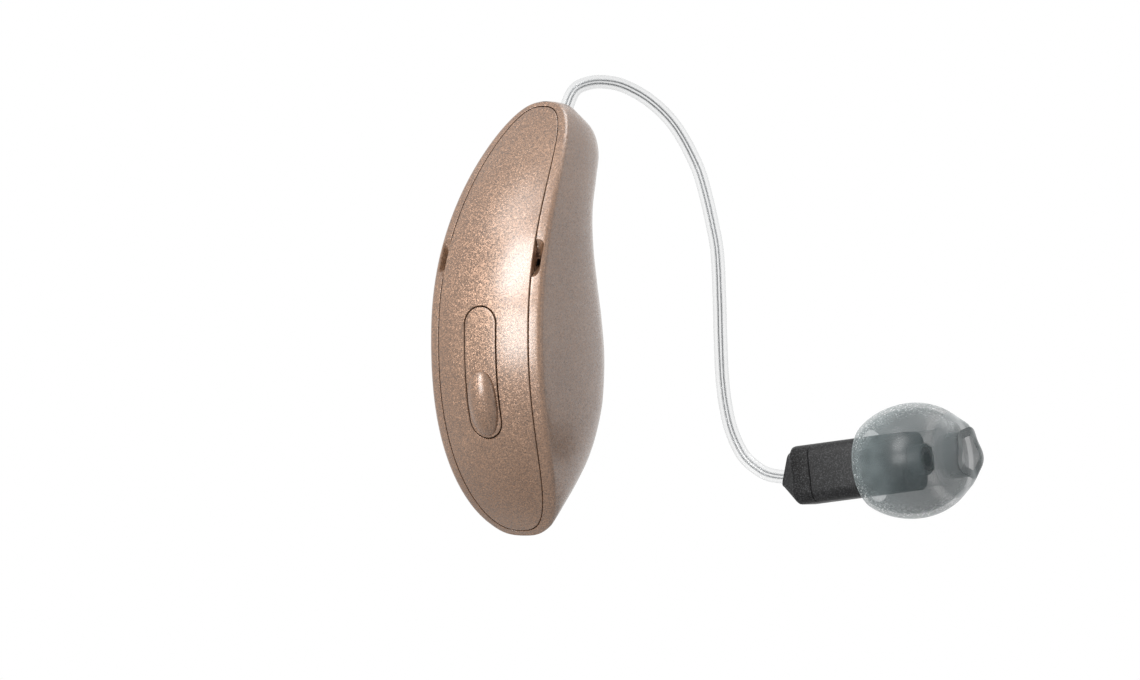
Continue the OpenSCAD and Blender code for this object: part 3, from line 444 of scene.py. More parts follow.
def make_cover():
    """Two faces that follow the back surface, joined by a rounded edge, with the opening cut through."""
    edge, ends = BAND_W + SEAM_GAP, BAND_END + SEAM_GAP
    rows = []
    for t in np.radians(np.linspace(0, 90, 5)):
        inset = EDGE * (1 - math.sin(t))
        rows.append(body_ring(edge + inset, ends + inset, ends + inset,
                              lambda x, z, t=t: back_y(x, z) + EDGE * (1 - math.cos(t))))

    def inner(x, z):
        return back_y(x, z) + cover_depth(z)
    rows.append(body_ring(edge, ends, ends, inner))
    made = piece("cover_moulding", [
        np.stack(rows), spine_grid(PLATE_STEPS, edge + EDGE, ends + EDGE, back_y),
        spine_grid(PLATE_STEPS, edge, ends, inner)])
    levels = []
    above, through_cover = 0.35, 1.2
    for depth, grow in ((-above, above + EDGE), (EDGE, 0), (through_cover, 0)):
        x, z = pill(BUTTON_GAP + grow, 96)
        levels.append(np.stack([x, back_y(x, z) + depth, z], -1))
    opening = piece("opening_cutter", [rings(levels), lid(levels[0]), lid(levels[-1])])
    cut(made, [opening])
    start = BUTTON_W / 2 + BUTTON_GAP
    ears = piece("pivot_ears", [
        pierced_block(side * start, side * (start + EAR_T), PIVOT_Y, PIVOT_Z, PIVOT_REACH, EAR_W, PIVOT_D / 2)
        for side in (-1, 1)])
    return made, ears


# Button: plate, thumb rest, lug on the pivot and plunger

def bump(x, z, middle):
    """Height of the thumb rest: a dome on a superellipse, one minus its share to a power."""
    r = np.abs(2 * x / BUMP_W) ** BUMP_OUTLINE + np.abs(2 * (z - middle) / BUMP_L) ** BUMP_OUTLINE
    return BUMP_H * (1 - np.clip(r, 0, 1)) ** BUMP_CROWN


def make_button():
    """Rings run from the middle of the thumb rest to its edge, on to the pill's outline and round its rim."""
    bottom = -BUTTON_TOP - BUTTON_L
    middle = bottom + BUTTON_GAP + BUMP_L / 2 + (BUTTON_W - BUMP_W) / 4
    x, z = pill(-EDGE)
    a = np.arctan2(z - middle, x)
    r = (np.abs(2 * np.cos(a) / BUMP_W) ** BUMP_OUTLINE
         + np.abs(2 * np.sin(a) / BUMP_L) ** BUMP_OUTLINE) ** (-1 / BUMP_OUTLINE)
    bx, bz = r * np.cos(a), middle + r * np.sin(a)
    rows = []
    for t in np.sin(np.linspace(0, math.pi / 2, 25)):
        px, pz = bx * t, mix(middle, bz, t)
        rows.append(np.stack([px, back_y(px, pz) - bump(px, pz, middle), pz], -1))
    for t in np.linspace(0, 1, 17)[1:]:
        px, pz = mix(bx, x, t), mix(bz, z, t)
        rows.append(np.stack([px, back_y(px, pz), pz], -1))
    for t in np.radians(np.linspace(0, 90, 5))[1:]:
        px, pz = pill(-EDGE * (1 - math.sin(t)))
        rows.append(np.stack([px, back_y(px, pz) + EDGE * (1 - math.cos(t)), pz], -1))
    for t in np.linspace(1, 0, 13):
        px, pz = x * t, mix(-BUTTON_TOP - BUTTON_L / 2, z, t) if t < 1 else z
        rows.append(np.stack([px, back_y(px, pz) + COVER_T, pz], -1))
    plate = piece("button_plate", [rings(rows)], 30)
    side, pin_play = BUTTON_W / 2 - BUTTON_GAP / 2, 0.04
    lug = piece("button_lug", [pierced_block(-side, side, PIVOT_Y, PIVOT_Z, PIVOT_REACH, LUG_W,
                                             PIVOT_D / 2 + pin_play)])
    pz = bottom + PLUNGER_SHARE * BUTTON_L
    py = float(spine_y(pz))

    def place(l, u, v):
        return np.stack([u, py + l, pz + v], -1)
    r = PLUNGER_D / 2
    plunger = piece("button_plunger", [turned(
        [(COVER_T / 2, 0), (COVER_T / 2, r), (PLUNGER_L - 0.2, r), (PLUNGER_L - 0.06, r - 0.06),
         (PLUNGER_L, r - 0.2), (PLUNGER_L, 0)], place, 32, False)])
    return plate, lug, plunger


# The lead

def lead_path(steps):
    """Smooth route of the lead from the plug over the ear to the receiver."""
    span = RECEIVER - EXIT
    route = np.concatenate([
        [EXIT + (PLUG_FRONT - TUBE_GRIP) * EXIT_AXIS, EXIT + PLUG_FRONT * EXIT_AXIS],
        EXIT + ROUTE * span, [RECEIVER, RECEIVER + TUBE_GRIP * HEAD_AXIS]])
    return through(route, np.linspace(0, len(route) - 1, (len(route) - 1) * steps + 1))


def around(path):
    """Two directions square to the path at each of its points."""
    t = np.gradient(path, axis=0)
    t /= np.linalg.norm(t, axis=1, keepdims=True)
    u = np.cross(t, np.array([1, -1, 1]) / math.sqrt(3))
    u /= np.linalg.norm(u, axis=1, keepdims=True)
    return u, np.cross(t, u)


def hose(path, r, sides):
    """Circles of radius r round a path."""
    u, v = around(path)
    c, s = circle(1, sides)
    return path[:, None] + r * (c[None, :, None] * u[:, None] + s[None, :, None] * v[:, None])


def make_lead():
    """Clear tube of two walls, and two wires side by side in its bore, which sway a little as a sine."""
    path = lead_path(8)
    outer, inner = hose(path, TUBE_D / 2, 24), hose(path, TUBE_BORE / 2, 24)
    ends = [np.stack([outer[i], inner[i]]) for i in (0, -1)]
    tube = piece("clear_tube", [outer, inner, *ends])
    t = np.gradient(path, axis=0)
    view = math.radians(VIEW_AZIMUTH)
    across = np.cross(t, np.array([math.sin(view), -math.cos(view), 0]))
    across /= np.linalg.norm(across, axis=1, keepdims=True)
    behind = np.cross(t / np.linalg.norm(t, axis=1, keepdims=True), across)
    run = np.concatenate([[0], np.cumsum(np.linalg.norm(np.diff(path, axis=0), axis=1))])
    wire_r, wire_apart, sway, sway_run = 0.052, 0.12, 0.5, 3.1
    a = sway * np.sin(run / sway_run)[:, None]
    patches = []
    for side in (-1, 1):
        skin = hose(path + side * wire_apart * (np.cos(a) * across + np.sin(a) * behind), wire_r, 10)
        patches += [skin, lid(skin[0]), lid(skin[-1])]
    return tube, piece("paired_wires", patches)


def make_plug():
    """Turned plug: a collar in the crown with a soft edge, a core, and grooves for three contact rings."""
    core_l, ring_w, ring_t, soft = 4.2, 0.5, 0.12, 0.12
    r, back = PLUG_D / 2, PLUG_FRONT - core_l
    profile = [(back, 0), (back, r - 0.1), (back + 0.1, r)]
    for i in range(3):
        groove = back + (2 * i + 1) * ring_w
        profile += [(groove, r), (groove, r - ring_t), (groove + ring_w, r - ring_t), (groove + ring_w, r)]
    rim = TUBE_D / 2 + SEAT_GAP
    profile += [(PLUG_FRONT - soft, r), (PLUG_FRONT - 0.035, r - 0.035), (PLUG_FRONT, r - soft),
                (PLUG_FRONT, rim + 0.05), (PLUG_FRONT - 0.05, rim), (PLUG_FRONT - TUBE_GRIP - SEAT_GAP, rim),
                (PLUG_FRONT - TUBE_GRIP - SEAT_GAP, 0)]
    return piece("plug_moulding", [turned(profile, at_exit, 64, False)], 30)


# Receiver

def case_section(height, width, corner, steps=8):
    """Rounded rectangle as (across, up), one corner after the other."""
    a = np.linspace(0, math.pi / 2, steps + 1)
    u, v = [], []
    for k, (su, sv) in enumerate(((1, 1), (-1, 1), (-1, -1), (1, -1))):
        u.append(su * (width / 2 - corner) + corner * np.cos(a + k * math.pi / 2))
        v.append(sv * (height / 2 - corner) + corner * np.sin(a + k * math.pi / 2))
    return np.concatenate(u), np.concatenate(v)


def case_row(along, height, width, corner):
    """Ring of the receiver at a distance along its axis."""
    u, v = case_section(height, width, corner)
    return at_receiver(np.full(u.shape, float(along)), u, v)


def slanted_row(forward, height, width, corner):
    """Ring on the cap's rear face, which leans forward at the top, or at a distance in front of it."""
    u, v = case_section(height, width, corner)
    return at_receiver(CAP_INSET + v * math.sin(CAP_LEAN) + forward * math.cos(CAP_LEAN), u,
                       CAP_RISE + v * math.cos(CAP_LEAN) - forward * math.sin(CAP_LEAN))


def bore_row(along, r, slanted=0):
    """Round ring with as many points as a section of the case, square to the axis or on the rear face."""
    u, v = case_section(2, 2, 0.999)  # nearly a circle, as the corners take up the whole section
    k = r / np.hypot(u, v)
    lean = slanted * (CAP_INSET + (v * k - CAP_RISE) * math.tan(CAP_LEAN))
    return at_receiver(along + lean + 0 * u, u * k, v * k)


def make_receiver():
    """Cap lofted from a small slanted rear face to the case's section, case with rounded ends, and spout."""
    taper, rear_h, rear_w, soft = CAP_L * 0.45, CASE_H * 0.6, CASE_W * 0.66, 0.12
    grip, seat = TUBE_D / 2 + SEAT_GAP, SPOUT_D / 2 + SEAT_GAP

    def row(along, inset=0.0, corner=0.0):
        """Section of the case, smaller by an inset on each side, with its corners less by another."""
        return case_row(along, CASE_H - 2 * inset, CASE_W - 2 * inset, CASE_CORNER - corner)

    back, front = slanted_row(soft, rear_h, rear_w, 0.45), row(taper)
    inner = CASE_WALL + SEAT_GAP
    cap = [bore_row(TUBE_GRIP, grip), bore_row(0.05, grip, 1), bore_row(0, grip + 0.05, 1),
           slanted_row(0, rear_h - 2 * soft, rear_w - 2 * soft, 0.3),
           slanted_row(soft / 3, rear_h - soft / 2, rear_w - soft / 2, 0.4), back,
           mix(back, front, 0.92), row(taper, EDGE / 2), row(taper + 0.12), row(CAP_L - 0.06),
           row(CAP_L, EDGE, EDGE), row(CAP_L, inner, inner), row(CAP_L + 0.3, inner, inner)]
    cap_piece = piece("cap_moulding", [rings(cap), lid(cap[0]), lid(cap[-1])], 25)
    rear, front_r, front_wall = CAP_L + SEAT_GAP, 0.2, 0.7
    shell = [row(rear, CASE_WALL, CASE_WALL), row(rear, EDGE, EDGE), row(rear + EDGE), row(CASE_L - front_r)]
    for t in np.radians((30, 60, 90)):
        inset = front_r * (1 - math.cos(t))
        shell.append(row(CASE_L - front_r + front_r * math.sin(t), inset, inset))
    shell += [bore_row(CASE_L, seat), bore_row(CASE_L - front_wall, seat),
              row(CASE_L - front_wall, CASE_WALL, CASE_WALL)]
    case = piece("case_moulding", [rings(shell + shell[:1])], 25)
    r, start, end, bore = SPOUT_D / 2, CASE_L - front_wall + SEAT_GAP, CASE_L + SPOUT_L, SPOUT_BORE / 2
    spout = piece("spout_moulding", [turned(
        [(start, bore), (start, r), (end - 0.08, r), (end - 0.02, r - 0.03), (end, r - 0.08),
         (end, bore + 0.05), (end - 0.05, bore)], at_receiver)], 30)
    return cap_piece, case, spout


def make_dome():
    """Soft skirt of two elliptic arcs with a thick lip, swept back from a hub, and a nose with a chamber."""
    def share(d, widest):
        return math.sqrt(1 - (d / widest) ** 2)
    shoulder_l, shoulder_d, tip_r = DOME_NOSE * 0.7, DOME_D * 0.73, DOME_D * 0.48 / 2
    rear = DOME_BACK / share(DOME_RIM_D, DOME_D)
    front = shoulder_l / share(shoulder_d, DOME_D)
    rim, shoulder = math.pi - math.asin(DOME_RIM_D / DOME_D), math.asin(shoulder_d / DOME_D)
    floor, end = CASE_L + SPOUT_L + DOME_NOSE * 0.35, CASE_L + SPOUT_L + SEAT_GAP
    tip, hub_back = CASE_L + DOME_NOSE, CASE_L + 0.1
    chamber, outlet, bore = HUB_D / 2 - DOME_T, SPOUT_BORE / 2, SPOUT_D / 2 + SEAT_GAP

    def arc(reach, r, a0, a1, n):
        return [(CASE_L + reach * math.cos(a), r * math.sin(a)) for a in np.linspace(a0, a1, n)]

    def soft(corner, before, after, r, n=6):
        """Rounds one corner of the profile between its two neighbours."""
        corner = np.array(corner, float)
        p, q = (corner + r * (np.array(other) - corner) / np.linalg.norm(np.array(other) - corner)
                for other in (before, after))
        return [tuple((1 - t) ** 2 * p + 2 * t * (1 - t) * corner + t * t * q)
                for t in np.linspace(0, 1, n)]

    half = math.pi / 2
    outer = arc(rear, DOME_D / 2, rim, half, 30) + arc(front, DOME_D / 2, half, shoulder, 24)[1:]
    inner = arc(front - DOME_T, DOME_D / 2 - DOME_T, shoulder, half, 24) \
        + arc(rear, DOME_D / 2 - DOME_T, half, rim, 30)[1:]
    corners = [outer[-1], (tip, tip_r), (tip, chamber), (floor, chamber), (floor, outlet), (end, outlet),
               (end, bore), (hub_back, bore), (hub_back, HUB_D / 2), (floor, HUB_D / 2), inner[0]]
    radii = [0.75, 0.2, 0.08, 0.08, 0.02, 0.02, 0.05, 0.1, 0.3]
    nose = [p for i, r in enumerate(radii) for p in soft(corners[i + 1], corners[i], corners[i + 2], r)]
    body = outer[:-1] + soft(outer[-1], outer[-2], (tip, tip_r), 0.1) + nose + inner
    lip, lip_forward = 0.27, 0.12
    start, radius = CASE_L + rear * math.cos(rim) + lip_forward, DOME_RIM_D / 2 - lip
    bead = [(start + lip * math.cos(t), radius + lip * math.sin(t))
            for t in np.radians(np.linspace(-15, -255, 21))]
    body = [p for p in body if p[1] > radius + 0.4 * lip or p[0] > start + 1.6 * lip]

    def crumpled(l, u, v):
        """The soft nose is a little out of round: sines round the axis that grow towards the tip."""
        crumple_start, crumple_run = 3, 1.4
        w, a = np.clip((l - CASE_L - crumple_start) / crumple_run, 0, 1) ** 2, np.arctan2(v, u)
        k = 1 + w * (0.03 * np.cos(5 * a + 0.6) + 0.02 * np.cos(3 * a + 2))
        return at_receiver(l + 0.07 * w * np.cos(4 * a + 0.8), u * k, v * k)
    return piece("soft_dome", [turned(body + bead, crumpled, 112)], 40)


housing = make_housing()
cover, ears = make_cover()
plate, lug, plunger = make_button()
tube, wires = make_lead()
plug = make_plug()
cap, case, spout = make_receiver()
dome = make_dome()


# Finishes

class Value:
    """One output of a shader node. Arithmetic on it adds Math nodes to its tree."""

    def __init__(self, nodes, socket):
        self.nodes, self.socket = nodes, socket

    def math(self, operation, *values):
        return self.nodes.node("Math", {"operation": operation}, dict(enumerate(values)))

    def __add__(self, other): return self.math("ADD", self, other)
    def __radd__(self, other): return self.math("ADD", other, self)
    def __sub__(self, other): return self.math("SUBTRACT", self, other)
    def __rsub__(self, other): return self.math("SUBTRACT", other, self)
    def __mul__(self, other): return self.math("MULTIPLY", self, other)
    def __rmul__(self, other): return self.math("MULTIPLY", other, self)
    def __pow__(self, other): return self.math("POWER", self, other)
    def most(self, other): return self.math("MAXIMUM", self, other)
    def sine(self): return self.math("SINE", self)

    def ramp(self, low, high):
        """0 below low, 1 above high, smooth between."""
        return self.nodes.node("MapRange", {"interpolation_type": "SMOOTHSTEP"},
                               {"Value": self, "From Min": low, "From Max": high})

    def past(self, band):
        """0 before a band in millimetres, 1 after it."""
        return self.ramp(band[0] * MM, band[1] * MM)


class Nodes:
    """A node tree, of a material or of the world."""

    def __init__(self, tree):
        self.tree = tree

    def put(self, socket, value):
        """A value or a link into one socket."""
        if isinstance(value, Value):
            self.tree.links.new(value.socket, socket)
        elif isinstance(value, (tuple, list)):
            socket.default_value = list(value) + [1] * (len(socket.default_value) - len(value))
        else:
            socket.default_value = value

    def node(self, kind, settings=None, values=None, output=0):
        """Adds a node of that type, with its settings and then the values or links of its sockets."""
        made = self.tree.nodes.new("ShaderNode" + kind)
        for key, value in (settings or {}).items():
            setattr(made, key, value)
        for key, value in (values or {}).items():
            self.put(made.inputs[key], value)
        return Value(self, made.outputs[output])

    def seen_as_white(self, other):
        """1 for rays from the camera and for glossy and transmitted ones, and a given level for the rest."""
        camera, glossy, passed = (self.node("LightPath", output=ray) for ray in (
            "Is Camera Ray", "Is Glossy Ray", "Is Transmission Ray"))
        return self.node("MapRange", {}, {"Value": camera.most(glossy).most(passed), "To Min": other})


class Finish(Nodes):
    """A material with one Principled shader; constants go on its sockets, patterns are fed to them."""

    def __init__(self, name, **constants):
        self.material = bpy.data.materials.new(name)
        self.material.use_nodes = True
        super().__init__(self.material.node_tree)
        self.tree.nodes.clear()
        self.shader = self.tree.nodes.new("ShaderNodeBsdfPrincipled")
        self.output = self.tree.nodes.new("ShaderNodeOutputMaterial")
        self.tree.links.new(self.shader.outputs[0], self.output.inputs[0])
        for key, value in constants.items():
            self.feed(key.replace("_", " "), value)

    def feed(self, name, value):
        """A value or a pattern into a socket of the shader."""
        self.put(self.shader.inputs[name], value)

    def mix(self, factor, a, b):
        """Colour between a and b."""
        return self.node("Mix", {"data_type": "RGBA"}, {0: factor, 6: a, 7: b}, 2)

    def vector(self, operation, a, b=None, output=0):
        """Vector Math on one vector or two."""
        return self.node("VectorMath", {"operation": operation}, {0: a} if b is None else {0: a, 1: b}, output)

    def scaled(self, vector, factor):
        """A vector or a colour times a number."""
        return self.node("VectorMath", {"operation": "SCALE"}, {0: vector, "Scale": factor})

    def place(self):
        """Object coordinates."""
        return self.node("TexCoord", output="Object")

    def noise(self, size, detail=3):
        """Cloudy pattern whose patches are about that size in millimetres."""
        return self.node("TexNoise", {}, {"Vector": self.place(), "Scale": 1 / (size * MM), "Detail": detail})

    def cells(self, size):
        """Small cells of about that size in millimetres: their random colours, and a number out of each."""
        colour = self.node("TexVoronoi", {}, {"Vector": self.place(), "Scale": 1 / (size * MM)}, "Color")
        return colour, self.node("SeparateColor", {}, {0: colour})

    def axis(self, vector, k):
        """One coordinate of a vector."""
        return self.node("SeparateXYZ", {}, {0: vector}, k)

    def bumps(self, height, distance, strength=1.0):
        """Relief of that depth in millimetres, on the normal."""
        self.feed("Normal", self.node("Bump", {}, {"Height": height, "Distance": distance * MM,
                                                   "Strength": strength}))


def linear(r, g, b):
    """Colour of a shader socket from the 0 to 255 values that it should show."""
    return tuple((c / 255 / 12.92 if c < 11 else ((c / 255 + 0.055) / 1.055) ** 2.4) for c in (r, g, b))


def metallic_lacquer():
    """Rosy taupe lacquer full of fine metal flakes: each flake leans its own way and has its own tone."""
    paint = Finish("rose_taupe_flake_lacquer", Metallic=0.4, IOR=1.5, Coat_Weight=0.8, Coat_IOR=1.7,
                   Coat_Roughness=0.26)
    flake_size, flake_lean = 0.065, 0.5
    flake, share = paint.cells(flake_size)
    drift = paint.noise(5, 2)
    tone = share * 0.9 + 0.56 + (drift - 0.5) * 0.08
    base = paint.mix(drift.ramp(0.3, 0.7), linear(122, 92, 70), linear(129, 99, 77))
    paint.feed("Base Color", paint.scaled(base, tone))
    paint.feed("Roughness", 0.34 + share * 0.08)
    lean = paint.scaled(paint.vector("SUBTRACT", flake, (0.5, 0.5, 0.5)), flake_lean)
    normal = paint.vector("ADD", paint.node("NewGeometry", output="Normal"), lean)
    paint.feed("Normal", paint.vector("NORMALIZE", normal))
    return paint


def grained_black(name, low, high):
    """Black moulded plastic with a fine grain and faint paler specks."""
    plastic = Finish(name, IOR=1.5, Specular_IOR_Level=0.25)
    speck = plastic.cells(0.05)[1].ramp(0.6, 1) * 0.4
    cloud = plastic.noise(0.9, 4)
    ground = plastic.mix(cloud, linear(low, low, low + 1), linear(high, high, high + 1))
    plastic.feed("Base Color", plastic.mix(speck, ground, linear(96, 97, 99)))
    plastic.feed("Roughness", 0.38 + cloud * 0.14)
    plastic.bumps(plastic.noise(0.1, 2), 0.004, 0.5)
    return plastic


# Where the dome's finish changes, in millimetres: along the receiver, and for the last two from its axis
# The clearer ring round the chamber stands in for pale reflections on the dome: painted reflection.
SKIRT_BAND, REFLECTION_WINDOW_BAND, CHAMBER_BAND, NOSE_BAND = (8.6, 10.8), (12.2, 12.4), (12.45, 12.6), (12.8, 13.1)
HUB_BAND, GLINT_BAND = (1.98, 2.3), (2.8, 3.2)


def smoked_silicone():
    """Smoke-tinted clear silicone: a veil on the skirt, and a darker nose behind a clearer ring round the
    chamber that stands in for pale reflections (painted reflection); clear on the hub, painted paler where it
    is seen edge on (painted reflection), and with fine painted glints there."""
    soft = Finish("smoked_clear_silicone", IOR=1.45, Specular_IOR_Level=0.5, Coat_Weight=0.1,
                  Coat_Roughness=0.12)
    cloud = soft.noise(1.1, 3)
    edge = soft.node("LayerWeight", {}, {"Blend": 0.4}, "Facing")
    from_rear = soft.vector("SUBTRACT", soft.place(), tuple(RECEIVER * MM))
    swing = soft.vector("CROSS_PRODUCT", from_rear, tuple(HEAD_AXIS))
    off_axis = soft.vector("LENGTH", swing, output="Value")
    along = soft.vector("DOT_PRODUCT", from_rear, tuple(HEAD_AXIS), "Value")
    skirt = off_axis.past(HUB_BAND).most(along.past(CHAMBER_BAND))
    rear = 1 - along.past(SKIRT_BAND)
    nose = along.past(NOSE_BAND)
    # Painted reflection: a clearer ring round the chamber lets the white behind show through as pale patches
    # in place of reflections.
    reflection_window = along.past(REFLECTION_WINDOW_BAND) - nose
    glint = soft.cells(0.07)[1].ramp(0.9, 0.96) * edge.ramp(0.25, 0.6) * off_axis.past(GLINT_BAND)
    ground = soft.mix(cloud.ramp(0.35, 0.65), linear(92, 103, 105), linear(110, 121, 123))
    ground = soft.mix(nose, ground, linear(50, 56, 59))
    ground = soft.mix(rear * skirt, linear(76, 85, 87), ground)
    # Painted reflection: the base colour turns pale grey where the dome is seen edge on, in place of the sheen
    # on its surface.
    rim = soft.mix(edge * edge, ground, linear(176, 186, 186))
    soft.feed("Base Color", soft.mix(glint, rim, (0.9, 0.93, 0.93)))
    soft.feed("Roughness", 0.26 + cloud * 0.12)
    veil = skirt * (0.28 + nose * 0.16 + rear * 0.02 + cloud * 0.1) * (1 - reflection_window * 0.75)
    soft.feed("Alpha", 0.08 + veil + edge ** 3 * (0.5 - skirt * 0.15) + glint * 0.35)
    soft.bumps(soft.noise(0.5, 2), 0.01, 0.5)
    return soft


def clear_tubing():
    """Clear tubing: faint where it is seen square on, light grey at its edges, with faint drawing marks."""
    tubing = Finish("clear_drawn_tubing", IOR=1.45, Specular_IOR_Level=0.8, Coat_Roughness=0.05,
                    Coat_Weight=0.6)
    cloud = tubing.noise(0.9, 3)
    edge = tubing.node("LayerWeight", {}, {"Blend": 0.3}, "Facing")
    tubing.feed("Base Color", tubing.mix(cloud, linear(168, 172, 173), linear(192, 195, 196)))
    tubing.feed("Roughness", 0.08 + cloud * 0.1)
    tubing.feed("Alpha", 0.06 + cloud * 0.05 + edge * edge * 0.75)
    return tubing


def plain_metal(name, colour, roughness):
    """Metal with a fine brushed grain."""
    metal = Finish(name, Metallic=1.0)
    wear = metal.noise(0.15, 3)
    metal.feed("Base Color", metal.mix(wear, linear(*[0.86 * c for c in colour]), linear(*colour)))
    metal.feed("Roughness", roughness + wear * 0.12)
    metal.bumps(wear, 0.004, 0.4)
    return metal


def plain_plastic(name, colour, roughness):
    """Moulded plastic with a fine spark-eroded grain."""
    plastic = Finish(name, IOR=1.5)
    wear = plastic.noise(0.2, 3)
    plastic.feed("Base Color", plastic.mix(wear, linear(*[0.9 * c for c in colour]), linear(*colour)))
    plastic.feed("Roughness", roughness + wear * 0.12)
    plastic.bumps(wear, 0.005, 0.5)
    return plastic


def board_laminate():
    """Green circuit board with paler copper tracks under its mask."""
    board = Finish("green_board_laminate", Roughness=0.35)
    track = board.node("TexBrick", {}, {"Vector": board.place(), "Scale": 1 / (1.6 * MM),
                                        "Mortar Size": 0.05}, "Fac")
    board.feed("Base Color", board.mix(track, linear(38, 84, 60), linear(86, 124, 78)))
    board.feed("Roughness", 0.3 + track * 0.12)
    return board


def woven_screen():
    """Dark woven screen: two sets of fine threads."""
    screen = Finish("dark_woven_screen", Roughness=0.6, IOR=1.45)
    place, per_thread = screen.place(), 2 * math.pi / (0.07 * MM)
    threads = (screen.axis(place, 0) * per_thread).sine() * (screen.axis(place, 2) * per_thread).sine()
    screen.feed("Base Color", screen.mix(threads.ramp(-0.6, 0.6), linear(8, 8, 8), linear(42, 40, 38)))
    screen.bumps(threads, 0.01)
    return screen


lacquer = metallic_lacquer()
black = grained_black("speckled_black_plastic", 10, 26)
cap_black = grained_black("cap_black_plastic", 4, 10)
silicone = smoked_silicone()
tubing = clear_tubing()
steel = plain_metal("drawn_steel", (186, 189, 192), 0.3)
wire_silver = plain_metal("silvered_wire", (150, 152, 154), 0.42)
gold = plain_metal("gold_plating", (206, 170, 92), 0.28)
copper = plain_metal("enamelled_copper_wire", (190, 120, 72), 0.35)
moulding = plain_plastic("graphite_moulding", (74, 76, 80), 0.5)
chip = plain_plastic("chip_package_black", (34, 34, 36), 0.45)
seal = plain_plastic("seal_rubber_black", (40, 40, 42), 0.6)
ferrite = plain_plastic("ferrite_grey", (70, 70, 74), 0.7)
ceramic = plain_plastic("ceramic_tan", (176, 150, 112), 0.4)
film = plain_plastic("amber_flex_film", (176, 106, 48), 0.35)
guard = plain_plastic("dark_guard_plastic", (26, 26, 28), 0.4)
laminate = board_laminate()
screen = woven_screen()
# Painted highlight: the spout takes a light grey in place of the bright highlights on its dark surface, seen
# through the dome.
spout_highlight_grey = plain_plastic("spout_plastic_painted_highlight", (112, 120, 122), 0.25)

# Each piece with the body that it rides, the CAD node that it replaces, its finish and its slot
PIECES = (
    (housing, "body", "main_housing", lacquer, "shell_lacquer"),
    (cover, "body", "spine_cover", lacquer, "shell_lacquer"),
    (ears, "body", None, lacquer, "shell_lacquer"),
    (plate, "button", "push_button", lacquer, "shell_lacquer"),
    (lug, "button", None, lacquer, "shell_lacquer"),
    (plunger, "button", None, lacquer, "shell_lacquer"),
    (tube, "receiver_unit", "receiver_tube", tubing, "clear_tubing"),
    (wires, "receiver_unit", "lead_wires", wire_silver, "wire_silver"),
    (plug, "receiver_unit", "receiver_plug", black, "black_moulding"),
    (cap, "receiver_unit", "receiver_cap", cap_black, "black_moulding"),
    (case, "receiver_unit", "receiver_case", black, "black_moulding"),
    (spout, "receiver_unit", "sound_spout", spout_highlight_grey, "black_moulding"),
    (dome, "dome", "ear_dome", silicone, "smoked_silicone"))
for made, body, node, finish, slot in PIECES:
    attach(made, body)
    if node:
        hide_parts(node)
    made.data.materials.clear()
    made.data.materials.append(finish.material)

# The CAD nodes that stay, with their finishes
CARRIED = {
    "chassis": moulding, "circuit_board": laminate, "signal_processor": chip, "radio_chip": chip,
    "board_components": ceramic, "microphone_left": steel, "microphone_right": steel,
    "mic_gasket_left": seal, "mic_gasket_right": seal, "mic_screen_left": screen,
    "mic_screen_right": screen, "battery_cell": steel, "battery_tabs": gold, "ferrite_sheet": ferrite,
    "charge_coil": copper, "antenna": copper, "link_flex": film, "plug_socket": black,
    "socket_contacts": gold, "socket_seal": seal, "button_pin": steel, "switch_base": black,
    "switch_dome": steel, "plug_contacts": gold, "armature_driver": steel, "driver_boot": seal,
    "wax_guard": guard}
for name, finish in CARRIED.items():
    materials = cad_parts[name].data.materials
    materials.clear()
    materials.append(finish.material)


# Stage

TARGET = Vector((0.341, 0.333, -8.68)) * MM  # in the middle of the picture

world = bpy.data.worlds.new("white_studio")
world.use_nodes = True
sky = world.node_tree.nodes["Background"].inputs
sky["Color"].default_value = (1, 1, 1, 1)
world_nodes = Nodes(world.node_tree)
world_nodes.put(sky["Strength"], world_nodes.seen_as_white(0.2))
bpy.context.scene.world = world


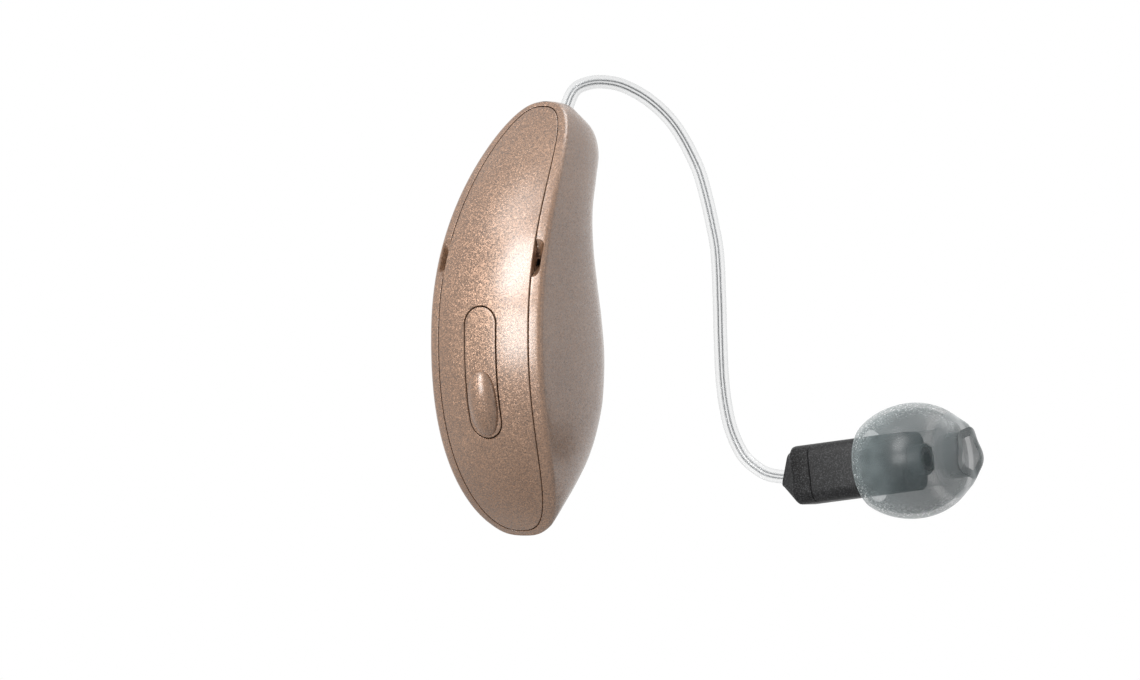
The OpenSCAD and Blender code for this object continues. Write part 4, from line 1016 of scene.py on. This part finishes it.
def make_floor():
    """Round floor below the aid: rings out to a wide radius. It turns to plain white away from the aid."""
    x0, y0, level = 6, 4, -34
    r = np.array([0, 20, 40, 60, 90, 140, 220])
    c, s = circle(1, 64)
    x, y = r[:, None] * c + x0, r[:, None] * s + y0
    made = linked("floor", [np.stack([x, y, np.full(x.shape, float(level))], -1)])
    matt = Finish("pale_floor", Roughness=0.9, Specular_IOR_Level=0.1)
    from_middle = matt.vector("SUBTRACT", matt.place(), (x0 * MM, y0 * MM, level * MM))
    away = matt.vector("LENGTH", from_middle, output="Value").past((28, 60))
    matt.feed("Base Color", matt.mix(matt.noise(2, 2), (0.62, 0.62, 0.62), (0.66, 0.66, 0.66)))
    glow = matt.node("Emission", {}, {"Strength": matt.seen_as_white(0.5)})
    lit = Value(matt, matt.shader.outputs[0])
    matt.put(matt.output.inputs[0], matt.node("MixShader", {}, {0: away, 1: lit, 2: glow}))
    made.data.materials.append(matt.material)


def aimed(name, data, azimuth, elevation, distance):
    """Lamp or camera that faces the aid from an azimuth and elevation in degrees and a distance in metres."""
    a, e = math.radians(azimuth), math.radians(elevation)
    away = Vector((math.sin(a) * math.cos(e), -math.cos(a) * math.cos(e), math.sin(e)))
    made = bpy.data.objects.new(name, data)
    made.location = TARGET + away * distance
    made.rotation_euler = (-away).to_track_quat("-Z", "Y").to_euler()
    bpy.context.scene.collection.objects.link(made)
    return made


make_floor()

# Softboxes: azimuth and elevation in degrees, distance, width and height in metres, radiance
for name, azimuth, elevation, distance, width, height, radiance in (
        ("key_softbox", -10, 32, 0.4, 0.13, 0.2, 15),
        ("upper_softbox", -34, 54, 0.4, 0.13, 0.14, 4.5),
        ("low_softbox", -4, -1, 0.4, 0.16, 0.18, 12),
        ("ridge_strip", 88, 18, 0.4, 0.03, 0.3, 3),
        ("crown_fill", 150, 62, 0.4, 0.2, 0.2, 5),
        ("rim_strip", 190, 20, 0.4, 0.08, 0.3, 0.3),
        ("top_fill", 30, 75, 0.5, 0.3, 0.3, 0.7)):
    lamp = bpy.data.lights.new(name, "AREA")
    lamp.shape = "RECTANGLE"
    lamp.size, lamp.size_y = width, height
    lamp.energy = radiance * math.pi * width * height
    aimed(name, lamp, azimuth, elevation, distance)

CAMERA_DISTANCE, VIEW_WIDTH = 0.9, 0.07917
lens = bpy.data.cameras.new("camera")
lens.sensor_width = 36
lens.lens = lens.sensor_width * CAMERA_DISTANCE / VIEW_WIDTH
lens.clip_start, lens.clip_end = 0.01, 10
bpy.context.scene.camera = aimed("camera", lens, VIEW_AZIMUTH, 0, CAMERA_DISTANCE)
bpy.context.scene.view_settings.view_transform = "Standard"
